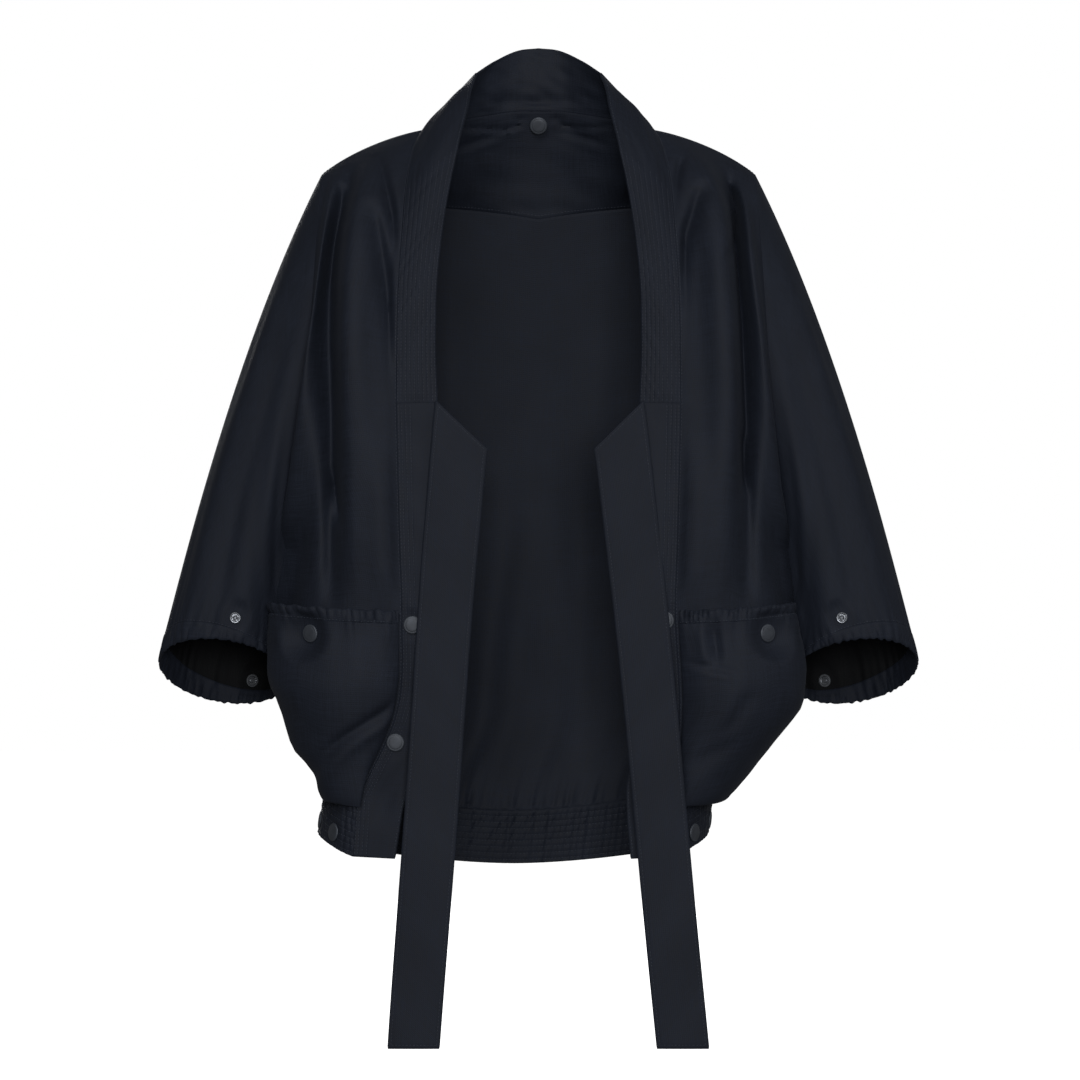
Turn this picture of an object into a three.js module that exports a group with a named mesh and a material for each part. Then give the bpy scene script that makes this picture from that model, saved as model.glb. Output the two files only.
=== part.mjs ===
// Open-front cape jacket with wide kimono sleeves, pouch pockets, long ties and press snaps.
// Millimetres. +X is the wearer's left, -Y is the front, +Z is up. The origin is the centre of the
// neck opening, level with the nape, in the plane of the shoulder seams.
//
// Neighbouring panels are sewn edge to edge, so they share one seam line, and every panel is built as
// rows of points between its seams. A named clearance then parts the two cloth edges.
import * as THREE from 'three';

// ---------------------------------------------------------------- driving dimensions
const cloth = 1.5; // thickness of one panel with its lining
const doubled = 2; // thickness of a folded and topstitched band
const seamGap = 0.96; // between the edges of two panels sewn together
const layerGap = 0.5; // between a panel and what lies on it
const sewnRoom = 1.8; // more of it along the curved edges of a pocket
const armholeEase = [0.6, 2.6]; // room between the sleeve and the armhole, at the shoulder and underarm
const metalGap = 0.3; // between a snap part and the cloth or its mate
const bentRoom = 0.4; // more of it on cloth that bends under the snap

const collarTop = 69; // top of the standing collar above the nape
const neckSeamTop = 10; // collar seam at the centre back
const neckHalf = 109; // collar seam at the shoulder seam, half-width
const shoulderHalf = 205; // dropped shoulder point, half-width
const shoulderDrop = 54;
const yokeDrop = 93; // point of the V seam at the centre back
const waistDrop = 273; // cross seam at the foot of the neck band, where the ties start
const underarmHalf = 228;
const underarmDrop = 404;
const armholeDepth = 64; // front to back, half
const pocketDrop = 460; // mouth of the pockets
const bodyDrop = 711; // lowest point of the hem, centre back
const hemBandHeight = 50;
const hemRise = 34; // how much higher the hem runs at the sides than at the centre back
const hemHalf = 181; // half-width of the hem at the side seams
const hemLean = -24; // the hem hangs to the wearer's right by this much
const bandWidth = 38; // neck and edge bands across the chest
const frontDepth = 119; // front edge of the waist seam, forward of the shoulders
const backDepth = 104; // deepest line of the back

const cuffOut = 360; // outer corner of the cuff from the centre
const cuffIn = 238; // inner corner of the cuff
const cuffDrop = 525;
const cuffDepth = 60; // front to back, half
const cuffTilt = 31; // front hem above, and back hem below, the cuff's middle
const cuffHem = 11; // width of the turned sleeve hem

const tieWidth = 47.5;
const tieDrop = 876; // lower ends of the ties
const tieCut = 45; // height of the slanted top edge
const pouchDepth = 24; // how far a pocket stands off the front at its fullest
const mouthHem = 11; // gathered casing along a pocket mouth
const mouthToSnap = 28.3; // from the mouth down to the snap at its outer corner

const capRadius = 8.5;
const socketRadius = 6.4;
const flangeRadius = 5.2;
const pinRadius = 2;
const pinFit = 0.4; // radial room of the pin in its socket
const capHeight = 2.3;
const socketHeight = 2.8;
const flangeHeight = 1;
const snapPlay = 0.3; // between stud flange and socket when closed

// ---------------------------------------------------------------- sides and small helpers
const sides = [{ name: 'left', sign: 1 }, { name: 'right', sign: -1 }];
const { lerp, smoothstep } = THREE.MathUtils;
const model = new THREE.Group();
const bodyMiddle = new THREE.Vector3(0, 0, 0);
const hemDrop = bodyDrop - hemRise; // hem at the side seams
const hemSeamDrop = bodyDrop - hemBandHeight;
const sideSeamEnd = hemSeamDrop - hemRise - 6; // side seam, top of the hem band
const leanStart = hemSeamDrop - 100;

function lean(z) {
  return hemLean * smoothstep(-z, leanStart, hemSeamDrop);
}

function point(side, x, y, z) {
  return new THREE.Vector3(side.sign * x + lean(z), y, z);
}

function spline(points, count) {
  return new THREE.CatmullRomCurve3(points, false, 'catmullrom', 0.5).getSpacedPoints(count);
}

function bezier(a, b, c, d, count) {
  return new THREE.CubicBezierCurve3(a, b, c, d).getPoints(count);
}

function chain(first, second) {
  return [...first, ...second.slice(1)];
}

// Value at a height, from a short list of [drop, value] stations.
function station(list, drop) {
  const next = list.findIndex(([at]) => at >= drop);
  if (next === 0) return list[0][1];
  if (next < 0) return list[list.length - 1][1];
  const [d0, v0] = list[next - 1];
  const [d1, v1] = list[next];
  return lerp(v0, v1, (drop - d0) / (d1 - d0));
}

// ---------------------------------------------------------------- cloth sheets
function gridNormal(grid, j, i, closed) {
  const rows = grid.length;
  const cols = grid[0].length;
  const left = closed ? (i + cols - 1) % cols : Math.max(i - 1, 0);
  const right = closed ? (i + 1) % cols : Math.min(i + 1, cols - 1);
  const across = grid[j][right].clone().sub(grid[j][left]);
  const along = grid[Math.min(j + 1, rows - 1)][i].clone().sub(grid[Math.max(j - 1, 0)][i]);
  return along.cross(across).normalize();
}

// Draws the outer rows and columns of points in by half a seam clearance.
function trimGrid(grid, gap, closed) {
  const out = grid.map((row) => row.map((p) => p.clone()));
  const rows = grid.length;
  const cols = grid[0].length;
  const pull = (j, i, jn, inn) => {
    const step = grid[jn][inn].clone().sub(grid[j][i]);
    out[j][i].add(step.setLength(gap / 2));
  };
  for (let i = 0; i < cols; i += 1) {
    pull(0, i, 1, i);
    pull(rows - 1, i, rows - 2, i);
  }
  if (closed) return out;
  for (let j = 0; j < rows; j += 1) {
    pull(j, 0, j, 1);
    pull(j, cols - 1, j, cols - 2);
  }
  return out;
}

// One closed solid: a face on each side of the grid and a rim round its open edges.
function sheetGeometry(rawGrid, thick, { closed = false, gap = seamGap } = {}) {
  const grid = trimGrid(rawGrid, gap, closed);
  const rows = grid.length;
  const cols = grid[0].length;
  const positions = [];
  for (const offset of [thick / 2, -thick / 2]) {
    grid.forEach((row, j) => row.forEach((p, i) => {
      positions.push(...p.clone().addScaledVector(gridNormal(grid, j, i, closed), offset).toArray());
    }));
  }
  const front = (j, i) => j * cols + (i % cols);
  const back = (j, i) => rows * cols + front(j, i);
  const index = [];
  const quad = (a, b, c, d) => index.push(a, b, c, a, c, d);
  const spans = closed ? cols : cols - 1;
  for (let j = 0; j < rows - 1; j += 1) {
    for (let i = 0; i < spans; i += 1) {
      quad(front(j, i), front(j + 1, i), front(j + 1, i + 1), front(j, i + 1));
      quad(back(j, i), back(j, i + 1), back(j + 1, i + 1), back(j + 1, i));
    }
    if (!closed) {
      quad(front(j, 0), back(j, 0), back(j + 1, 0), front(j + 1, 0));
      quad(front(j, spans), front(j + 1, spans), back(j + 1, spans), back(j, spans));
    }
  }
  const last = rows - 1;
  for (let i = 0; i < spans; i += 1) {
    quad(front(0, i), front(0, i + 1), back(0, i + 1), back(0, i));
    quad(front(last, i), back(last, i), back(last, i + 1), front(last, i + 1));
  }
  const geometry = new THREE.BufferGeometry();
  geometry.setAttribute('position', new THREE.Float32BufferAttribute(positions, 3));
  geometry.setIndex(index);
  return outwards(geometry);
}

// Turns every face round when the solid came out inside out.
function outwards(geometry) {
  const p = geometry.getAttribute('position');
  const index = geometry.getIndex();
  const corner = (k) => new THREE.Vector3().fromBufferAttribute(p, index.getX(k));
  let volume = 0;
  for (let k = 0; k < index.count; k += 3) volume += corner(k).dot(corner(k + 1).cross(corner(k + 2)));
  if (volume < 0) geometry.setIndex([...index.array].reverse());
  geometry.computeVertexNormals();
  return geometry;
}

function clothMaterial(color) {
  return new THREE.MeshStandardMaterial({ color, roughness: 0.62, metalness: 0 });
}

function metalMaterial() {
  return new THREE.MeshStandardMaterial({ color: '#50535a', roughness: 0.38, metalness: 0.8 });
}

function addMesh(name, geometry, material) {
  const mesh = new THREE.Mesh(geometry, material);
  mesh.name = name;
  model.add(mesh);
  return mesh;
}

function addSheet(name, grid, color, thick = cloth, options = {}) {
  return addMesh(name, sheetGeometry(grid, thick, options), clothMaterial(color));
}

// Rows from the left to the right line of points, each a curve that leaves its ends by two handles.
function rowsBetween(left, right, count, handles, top, bottom) {
  return left.map((start, j) => {
    if (j === 0 && top) return top;
    if (j === left.length - 1 && bottom) return bottom;
    const end = right[j];
    const [leave, arrive] = handles(start, end);
    return bezier(start, start.clone().add(leave), end.clone().add(arrive), end, count);
  });
}

// ---------------------------------------------------------------- how many points each seam has
const neckSteps = 4;
const shoulderSteps = 7;
const backSteps = neckSteps + shoulderSteps;
const neckBandSteps = 9;
const edgeSteps = 10;
const armSteps = 12;
const sideSteps = neckBandSteps + edgeSteps - armSteps;
const hemEndSteps = 2;

// ---------------------------------------------------------------- seam lines of one side
function armholePoint(side, degrees) {
  const turn = THREE.MathUtils.degToRad(degrees);
  const down = (1 - Math.cos(turn)) / 2;
  const x = lerp(shoulderHalf, underarmHalf, down);
  return point(side, x, -armholeDepth * Math.sin(turn), -lerp(shoulderDrop, underarmDrop, down));
}

function armhole(side, from, to, count) {
  return Array.from({ length: count + 1 }, (_, k) => armholePoint(side, lerp(from, to, k / count)));
}

const yokeTurn = 35; // where the V seam meets the armhole, degrees round from the shoulder point
const bandOuter = frontDepth + 14; // half-width of the band's outer seam at the waist
const neckPoint = (side) => point(side, neckHalf, -4, -12);
const waistPoint = (side) => point(side, bandOuter, -frontDepth, -waistDrop);
const waistInner = (side) => point(side, bandOuter - bandWidth, 3 - frontDepth, -waistDrop);
const underarm = (side) => point(side, underarmHalf, 0, -underarmDrop);
const hemSide = (side) => point(side, hemHalf, 0, -sideSeamEnd);
const hemFront = (side) => point(side, hemHalf - 33, -104, 15 - hemSeamDrop);

function seamsOf(side) {
  const at = (x, y, z) => point(side, x, y, z);
  const belowUnderarm = (share) => -lerp(underarmDrop, sideSeamEnd, share);
  const belowWaist = (share) => -lerp(waistDrop, hemSeamDrop - 15, share);
  const collarSide = at(neckHalf - 50, 20, collarTop - 26);
  return {
    neck: spline([at(0, 64, neckSeamTop), at(22, 62.5, neckSeamTop - 0.5), at(0.41 * neckHalf, 55, 6),
      at(0.81 * neckHalf, 26, -3), neckPoint(side)], neckSteps),
    collarTop: spline([at(0, 64, collarTop), at(20, 61, collarTop - 2.5), at(40, 47, collarTop - 12),
      collarSide], neckSteps),
    collarSide,
    shoulder: bezier(neckPoint(side), at(neckHalf + 31, 3, -17), at(shoulderHalf - 23, 3, 20 - shoulderDrop),
      at(shoulderHalf, 0, -shoulderDrop), shoulderSteps),
    bandOuter: spline([neckPoint(side), at(117, -26, -28), at(124, -56, -62), at(bandOuter - 5, -84, -110),
      at(bandOuter - 1, -106, -180), waistPoint(side)], neckBandSteps),
    bandInner: spline([collarSide, at(64, -12, 27), at(67, -32, 8), at(76, -56, -30),
      at(bandOuter - bandWidth - 8, -78, -85), at(bandOuter - bandWidth, -100, -150),
      at(bandOuter - bandWidth + 2, -109, -215), waistInner(side)], neckBandSteps),
    edgeOuter: spline([waistPoint(side), at(bandOuter - 3, -122, belowWaist(0.34)),
      at(bandOuter - 5, -120, belowWaist(0.53)), at(bandOuter - 1, -112, belowWaist(0.77)),
      hemFront(side)], edgeSteps),
    edgeInner: spline([waistInner(side), at(bandOuter - 43, -121, belowWaist(0.34)),
      at(bandOuter - 44, -120, belowWaist(0.53)), at(bandOuter - 40, -114, belowWaist(0.77)),
      at(bandOuter - 30, -108, belowWaist(0.97)), at(bandOuter - 22, -106, -bodyDrop + 12)],
    edgeSteps + hemEndSteps),
    hemEnd: spline([hemFront(side), at(hemHalf - 31, -104, -bodyDrop + 14)], hemEndSteps),
    side: spline([underarm(side), at(209, 0, belowUnderarm(0.3)), at(204, 0, belowUnderarm(0.72)),
      hemSide(side)], sideSteps),
    frontHem: bezier(hemFront(side), at(hemHalf - 15, -100, 21 - hemSeamDrop),
      at(hemHalf + 7, -62, -sideSeamEnd - 6), hemSide(side), shoulderSteps),
    frontHemEdge: bezier(at(hemHalf - 31, -104, -bodyDrop + 14), at(hemHalf - 13, -100, -bodyDrop + 20),
      at(hemHalf + 7, -62, -hemDrop), at(hemHalf + 2, 0, -hemDrop), shoulderSteps),
    backHem: bezier(at(0, backDepth - 7, -hemSeamDrop), at(68, backDepth - 6, -hemSeamDrop),
      at(hemHalf + 8, 74, -lerp(hemSeamDrop, sideSeamEnd, 0.5)), hemSide(side), backSteps),
    backHemEdge: bezier(at(0, backDepth - 5, -bodyDrop), at(68, backDepth - 4, -bodyDrop),
      at(hemHalf + 10, 76, -lerp(bodyDrop, hemDrop, 0.5)), at(hemHalf + 2, 0, -hemDrop), backSteps),
    yoke: bezier(at(0, backDepth - 14, -yokeDrop), at(60, backDepth - 12, 11 - yokeDrop),
      at(150, 78, 17 - yokeDrop), armholePoint(side, -yokeTurn), backSteps),
  };
}

// ---------------------------------------------------------------- shoulders, back and collar
// A row right across the body: the wearer's right half reversed, then the left half.
function across(rightHalf, leftHalf) {
  return [...rightHalf.slice(1).reverse(), ...leftHalf];
}

const backSwell = {
  out: [[shoulderDrop, -35], [229, -26], [330, -15], [underarmDrop, -3], [480, 16], [560, 11]],
  deep: [[shoulderDrop, 26], [229, 34], [330, 50], [underarmDrop, 98], [480, 92], [560, 86]],
};

function yokeHalf(side, seams) {
  const top = chain(seams.neck, seams.shoulder);
  const rows = 3;
  const outer = armhole(side, 0, -yokeTurn, rows);
  return Array.from({ length: rows + 1 }, (_, j) => {
    const share = j / rows;
    const round = Math.sin(Math.PI * share) * 3; // the upper back is rounded
    return top.map((p, i) => {
      if (i === backSteps) return outer[j];
      const fade = 1 - i / backSteps;
      return p.clone().lerp(seams.yoke[i], share).add(new THREE.Vector3(0, round * (0.4 + 0.6 * fade), 0));
    });
  });
}

function backHalf(side, seams) {
  const armRows = 10;
  const rows = armRows + sideSteps;
  const outer = chain(armhole(side, -yokeTurn, -180, armRows), seams.side);
  const at = (x, y, z) => point(side, x, y, z);
  const centre = spline([at(0, backDepth - 14, -yokeDrop), at(0, backDepth - 8, -yokeDrop - 50),
    at(0, backDepth - 1, -yokeDrop - 150), at(0, backDepth, -underarmDrop), at(0, backDepth - 1, -hemSeamDrop + 100),
    at(0, backDepth - 7, -hemSeamDrop)], rows);
  const handles = (start, end) => {
    const drop = -(start.z + end.z) / 2;
    const arrive = new THREE.Vector3(side.sign * station(backSwell.out, drop), station(backSwell.deep, drop), 0);
    return [new THREE.Vector3(side.sign * 75, 2, 0), arrive];
  };
  return rowsBetween(centre, outer, backSteps, handles, seams.yoke, seams.backHem);
}

function joinHalves(build, seams) {
  const [left, right] = sides.map((side) => build(side, seams[side.name]));
  return left.map((row, j) => across(right[j], row));
}

// ---------------------------------------------------------------- fronts and pockets
const frontSwell = {
  out: [[shoulderDrop, -20], [166, -9], [281, 0], [underarmDrop, 0], [480, 80], [560, 56]],
  deep: [[shoulderDrop, 8], [166, 30], [281, 47], [340, 66], [underarmDrop, 114], [480, 111], [560, 95]],
};

function frontGrid(side, seams) {
  const inner = chain(seams.bandOuter, seams.edgeOuter);
  const outer = chain(armhole(side, 0, 180, armSteps), seams.side);
  const handles = (start, end) => {
    const drop = -(start.z + end.z) / 2;
    const arrive = new THREE.Vector3(side.sign * station(frontSwell.out, drop), -station(frontSwell.deep, drop), 0);
    return [new THREE.Vector3(side.sign * 42, -12, 0), arrive];
  };
  return rowsBetween(inner, outer, shoulderSteps, handles, seams.shoulder, seams.frontHem);
}

// A point and its outward direction on a grid, by shares across (u) and down (v).
function onGrid(grid, u, v) {
  const rows = grid.length - 1;
  const cols = grid[0].length - 1;
  const j = Math.min(Math.floor(v * rows), rows - 1);
  const i = Math.min(Math.floor(u * cols), cols - 1);
  const fu = u * cols - i;
  const fv = v * rows - j;
  const upper = grid[j][i].clone().lerp(grid[j][i + 1], fu);
  const lower = grid[j + 1][i].clone().lerp(grid[j + 1][i + 1], fu);
  const upperNormal = gridNormal(grid, j, i).lerp(gridNormal(grid, j, i + 1), fu);
  const lowerNormal = gridNormal(grid, j + 1, i).lerp(gridNormal(grid, j + 1, i + 1), fu);
  return { at: upper.lerp(lower, fv), normal: upperNormal.lerp(lowerNormal, fv).normalize() };
}

// The share down a grid's column at which it reaches a height.
function shareAtHeight(grid, u, z) {
  let low = 0;
  let high = 1;
  for (let k = 0; k < 24; k += 1) {
    const middle = (low + high) / 2;
    if (onGrid(grid, u, middle).at.z > z) low = middle;
    else high = middle;
  }
  return (low + high) / 2;
}

// Middle of a cell of a grid, moved down it by a share, and the direction the flat cell faces.
function cellPoint(grid, j, i, down = 0.5) {
  const upper = grid[j][i].clone().lerp(grid[j][i + 1], 0.5);
  const lower = grid[j + 1][i].clone().lerp(grid[j + 1][i + 1], 0.5);
  const falling = grid[j + 1][i + 1].clone().sub(grid[j][i]);
  const rising = grid[j][i + 1].clone().sub(grid[j + 1][i]);
  return { at: upper.lerp(lower, down), normal: falling.cross(rising).normalize() };
}

// The same place, facing away from a middle line.
function facingOut(place, middle) {
  const away = place.at.clone().sub(middle);
  away.z = 0;
  if (place.normal.dot(away) < 0) place.normal.negate();
  return place;
}

const snapStack = flangeHeight + snapPlay + socketHeight + 2 * metalGap + bentRoom;
const snapStand = cloth + snapStack; // middle of one layer to the middle of the other at a closed snap
const seatStand = cloth + layerGap + sewnRoom; // a layer sewn flat on the front
const pocketColumns = 8;
const pocketRowHeight = 36;
const pocketRows = Math.round((bodyDrop - pocketDrop) / pocketRowHeight);
const pocketReach = 0.86; // share of the front's width that a pocket covers
const pocketFoot = 0.985; // share of the front's height where a pocket's lower edge is sewn
const pocketSnapColumn = 4; // columns of cells with the corner snap, on the pocket and on the front
const frontSnapColumn = 3;

function pocketStand(over, down) {
  const bag = Math.sin(Math.PI * over) ** 0.7 * Math.sin(Math.PI * (0.25 + 0.75 * down)) ** 0.8;
  return Math.max(seatStand, lerp(seatStand, pouchDepth, bag));
}

function frontSnapPlace(front) {
  const heightOf = (row) => (row[frontSnapColumn].z + row[frontSnapColumn + 1].z) / 2;
  const snapHeight = -pocketDrop - mouthToSnap;
  const below = front.findIndex((row) => heightOf(row) < snapHeight);
  const [upper, lower] = [front[below - 1], front[below]].map(heightOf);
  const down = (upper - snapHeight) / (upper - lower);
  return facingOut(cellPoint(front, below - 1, frontSnapColumn, down), bodyMiddle);
}

// The pocket follows the front at a distance, and lies flat where its corner is snapped down.
function pocketGrid(front) {
  const sign = gridNormal(front, 10, 3).y < 0 ? 1 : -1;
  const rowDrops = [0, mouthHem];
  const columns = Array.from({ length: pocketColumns + 1 }, (_, i) => {
    const u = lerp(0.03, pocketReach, i / pocketColumns);
    const mouth = -pocketDrop - 8 * (1 - u);
    const seam = shareAtHeight(front, u, mouth - mouthHem);
    const shares = rowDrops.map((drop) => shareAtHeight(front, u, mouth - drop));
    for (let j = 1; j < pocketRows; j += 1) shares.push(lerp(seam, pocketFoot, j / (pocketRows - 1)));
    return shares.map((share, j) => {
      const { at, normal } = onGrid(front, u, share);
      return at.addScaledVector(normal, sign * pocketStand(i / pocketColumns, j / pocketRows));
    });
  });
  const grid = columns[0].map((_, j) => columns.map((column) => column[j]));
  const snap = frontSnapPlace(front);
  for (const j of [1, 2]) {
    for (const i of [pocketSnapColumn, pocketSnapColumn + 1]) {
      const off = grid[j][i].clone().sub(snap.at).dot(snap.normal);
      grid[j][i].addScaledVector(snap.normal, snapStand - off);
    }
  }
  return grid;
}

// ---------------------------------------------------------------- sleeves
function sleeveRings(side) {
  const ring = (outer, inner, depth, tilt) => Array.from({ length: 2 * armSteps }, (_, k) => {
    const turn = (k / armSteps) * Math.PI;
    const down = (1 - Math.cos(turn)) / 2;
    const x = lerp(outer.x, inner.x, down);
    const z = -lerp(outer.drop, inner.drop, down) + tilt * Math.sin(turn);
    return point(side, x, -depth * Math.sin(turn), z);
  });
  const start = ring({ x: shoulderHalf + armholeEase[0], drop: shoulderDrop },
    { x: underarmHalf + armholeEase[1], drop: underarmDrop }, armholeDepth, 0);
  const middle = ring({ x: lerp(shoulderHalf, cuffOut, 0.54), drop: 218 },
    { x: lerp(underarmHalf, cuffIn, 0.8), drop: lerp(underarmDrop, cuffDrop, 0.55) }, armholeDepth + 2, 6);
  const end = ring({ x: cuffOut, drop: cuffDrop - 7 }, { x: cuffIn, drop: cuffDrop + 7 }, cuffDepth, cuffTilt);
  return { start, middle, end };
}

function sleeveRing({ start, middle, end }, share) {
  return start.map((p, k) => new THREE.QuadraticBezierCurve3(p, middle[k], end[k]).getPoint(share));
}

function sleeveRows(rings, from, to, count) {
  return Array.from({ length: count + 1 }, (_, j) => sleeveRing(rings, lerp(from, to, j / count)));
}

// ---------------------------------------------------------------- ties
const ties = {
  left: { top: 98, inset: 46, bottomOut: 158.6 },
  right: { top: 96, inset: 48, bottomOut: 140 },
};

function tieGrid(side) {
  const { top, inset, bottomOut } = ties[side.name];
  const rows = 8;
  const bandFace = frontDepth + 2 + doubled + layerGap;
  return Array.from({ length: rows + 1 }, (_, j) => {
    const share = j / rows;
    const out = lerp(top, bottomOut, share ** 0.9);
    const y = -bandFace - 5 * smoothstep(share, 0.1, 0.8);
    const start = 2 - waistDrop;
    return [0, 0.5, 1].map((inward) => {
      const z = lerp(start - tieCut * inward, -tieDrop, share);
      return new THREE.Vector3(side.sign * (out - lerp(inset, tieWidth, share) * inward), y, z);
    });
  });
}

// ---------------------------------------------------------------- press snaps
const snapSides = 12;

const socketFloor = 0.7;
const pinHeight = flangeHeight + socketHeight - 1;
const snapShapes = {
  cap: [[0, 0], [capRadius, 0], [capRadius, 0.35 * capHeight], [0.72 * capRadius, 0.85 * capHeight],
    [0, capHeight]],
  socket: [[0, 0], [socketRadius, 0], [socketRadius, socketHeight], [pinRadius + pinFit, socketHeight],
    [pinRadius + pinFit, socketFloor], [0, socketFloor]],
  stud: [[0, 0], [flangeRadius, 0], [flangeRadius, flangeHeight], [pinRadius, flangeHeight],
    [pinRadius, pinHeight], [0, pinHeight]],
  post: [[0, 0], [flangeRadius, 0], [flangeRadius, 0.9], [pinRadius + 0.6, 0.9], [pinRadius + 0.6, 0.4],
    [0, 0.4]],
};

// Adds one snap part with its base at a distance from a place on the cloth, growing that way.
function addSnapPart(name, shape, place, distance, inward = false) {
  const geometry = outwards(new THREE.LatheGeometry(
    snapShapes[shape].map(([radius, height]) => new THREE.Vector2(radius, height)), snapSides));
  const mesh = addMesh(name, geometry, metalMaterial());
  const grows = place.normal.clone().multiplyScalar(inward ? -1 : 1);
  mesh.quaternion.setFromUnitVectors(new THREE.Vector3(0, 1, 0), grows);
  mesh.position.copy(place.at).addScaledVector(place.normal, distance);
}

// Cap on the outer face of a layer and its socket on the inner face.
function addCapAndSocket(name, place, thick) {
  const off = thick / 2 + metalGap;
  addSnapPart(`${name}_cap`, 'cap', place, off);
  addSnapPart(`${name}_socket`, 'socket', place, -off, true);
}

// Stud on one face of a layer and the post that holds it on the other.
function addStudAndPost(name, place, thick, studInward = false) {
  const off = thick / 2 + metalGap;
  const turn = studInward ? -1 : 1;
  addSnapPart(`${name}_stud`, 'stud', place, off * turn, studInward);
  addSnapPart(`${name}_post`, 'post', place, -off * turn, !studInward);
}

function moved(place, distance) {
  return { at: place.at.clone().addScaledVector(place.normal, distance), normal: place.normal };
}

// ---------------------------------------------------------------- the whole garment
const colours = { outer: '#1f222a', inside: '#262931', band: '#1c1f27', sleeve: '#1b1e25', hem: '#23262e' };
const seams = Object.fromEntries(sides.map((side) => [side.name, seamsOf(side)]));

function strip(top, bottom, rows) {
  return Array.from({ length: rows + 1 }, (_, j) => top.map((p, i) => p.clone().lerp(bottom[i], j / rows)));
}

// A band between two lines with its middle rolled outwards, more at its start than at its end.
function rolledBand(inner, outer, startRoll, endRoll) {
  const grid = strip(inner, outer, 2);
  grid[1] = grid[1].map((p, i) => {
    const place = facingOut({ at: p.clone(), normal: gridNormal(grid, 1, i) }, bodyMiddle);
    return p.clone().addScaledVector(place.normal, lerp(startRoll, endRoll, i / (inner.length - 1)));
  });
  return grid;
}

function addBack() {
  const { left, right } = seams;
  const yoke = joinHalves(yokeHalf, seams);
  addSheet('back_yoke', yoke, colours.inside);
  addSheet('back_panel', joinHalves(backHalf, seams), colours.inside);
  addSheet('collar_stand', strip(across(right.collarTop, left.collarTop), across(right.neck, left.neck), 2),
    colours.inside, doubled);
  addSheet('hem_band', strip(across(right.backHem, left.backHem), across(right.backHemEdge, left.backHemEdge), 2),
    colours.hem, doubled);
  const normal = gridNormal(yoke, 0, backSteps).clone();
  if (normal.y > 0) normal.negate();
  const place = { at: yoke[0][backSteps].clone().lerp(yoke[1][backSteps], 0.36), normal };
  const curveRoom = 0.6; // the cloth curves towards the flat stud round the neck
  addSnapPart('neck_snap_post', 'post', place, -cloth / 2 - metalGap, true);
  addSnapPart('neck_snap_stud', 'stud', place, cloth / 2 + metalGap + curveRoom);
  const top = moved(place, cloth / 2 + metalGap + curveRoom + flangeHeight + snapPlay + socketHeight);
  addSnapPart('neck_snap_socket', 'socket', top, 0, true);
  addSnapPart('neck_snap_cap', 'cap', top, metalGap);
}

function addFront(side) {
  const own = seams[side.name];
  const front = frontGrid(side, own);
  addSheet(`${side.name}_front`, front, colours.outer);
  addSheet(`${side.name}_neck_band`, rolledBand(own.bandInner, own.bandOuter, 4, 1), colours.band, doubled);
  const edge = strip(own.edgeInner, chain(own.edgeOuter, own.hemEnd), 2);
  addSheet(`${side.name}_edge_band`, edge, colours.band, doubled);
  const hem = strip(own.frontHem, own.frontHemEdge, 2);
  addSheet(`${side.name}_hem_band`, hem, colours.hem, doubled);
  addPocket(side, front);
  const bandSnaps = { upper: [1, 5], lower: [1, 8] };
  for (const [name, [across2, down]] of Object.entries(bandSnaps)) {
    addCapAndSocket(`${side.name}_${name}_edge_snap`, facingOut(cellPoint(edge, across2, down), bodyMiddle), doubled);
  }
  const hemSnaps = { front: [1, 2], side: [1, 5] };
  for (const [name, [down, across2]] of Object.entries(hemSnaps)) {
    addCapAndSocket(`${side.name}_${name}_hem_snap`, facingOut(cellPoint(hem, down, across2), bodyMiddle), doubled);
  }
}

function addPocket(side, front) {
  const grid = pocketGrid(front);
  addSheet(`${side.name}_pocket`, grid.slice(1), colours.outer);
  addSheet(`${side.name}_pocket_hem`, grid.slice(0, 2), colours.outer, doubled);
  const lower = frontSnapPlace(front);
  addStudAndPost(`${side.name}_pocket_snap`, lower, cloth + 2 * bentRoom);
  addCapAndSocket(`${side.name}_pocket_snap`, moved(lower, snapStand), cloth);
}

function addSleeve(side) {
  const rings = sleeveRings(side);
  const length = rings.start[0].distanceTo(rings.end[0]);
  const hemStart = 1 - cuffHem / length;
  const body = sleeveRows(rings, 0, hemStart, 9);
  addSheet(`${side.name}_sleeve`, body, colours.sleeve, cloth, { closed: true });
  addSheet(`${side.name}_sleeve_hem`, sleeveRows(rings, hemStart, 1, 1), colours.sleeve, doubled, { closed: true });
  const middle = point(side, (cuffOut + cuffIn) / 2, 0, -cuffDrop);
  const frontPlace = facingOut(cellPoint(body, 8, armSteps / 2), middle);
  const backPlace = facingOut(cellPoint(body, 8, (3 * armSteps) / 2 - 2, 0.6), middle);
  addStudAndPost(`${side.name}_sleeve_front_snap`, frontPlace, cloth, true);
  addCapAndSocket(`${side.name}_sleeve_back_snap`, backPlace, cloth);
}

addBack();
for (const side of sides) {
  addFront(side);
  addSleeve(side);
  addSheet(`${side.name}_tie`, tieGrid(side), colours.band, doubled, { gap: 0 });
}

export default model;
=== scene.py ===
"""Open-front cape jacket in dark lined cloth, hung as if worn.

Metres in Blender, millimetres in the pattern. +X is the wearer's left, -Y the front, +Z up.
"""
import math

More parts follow.
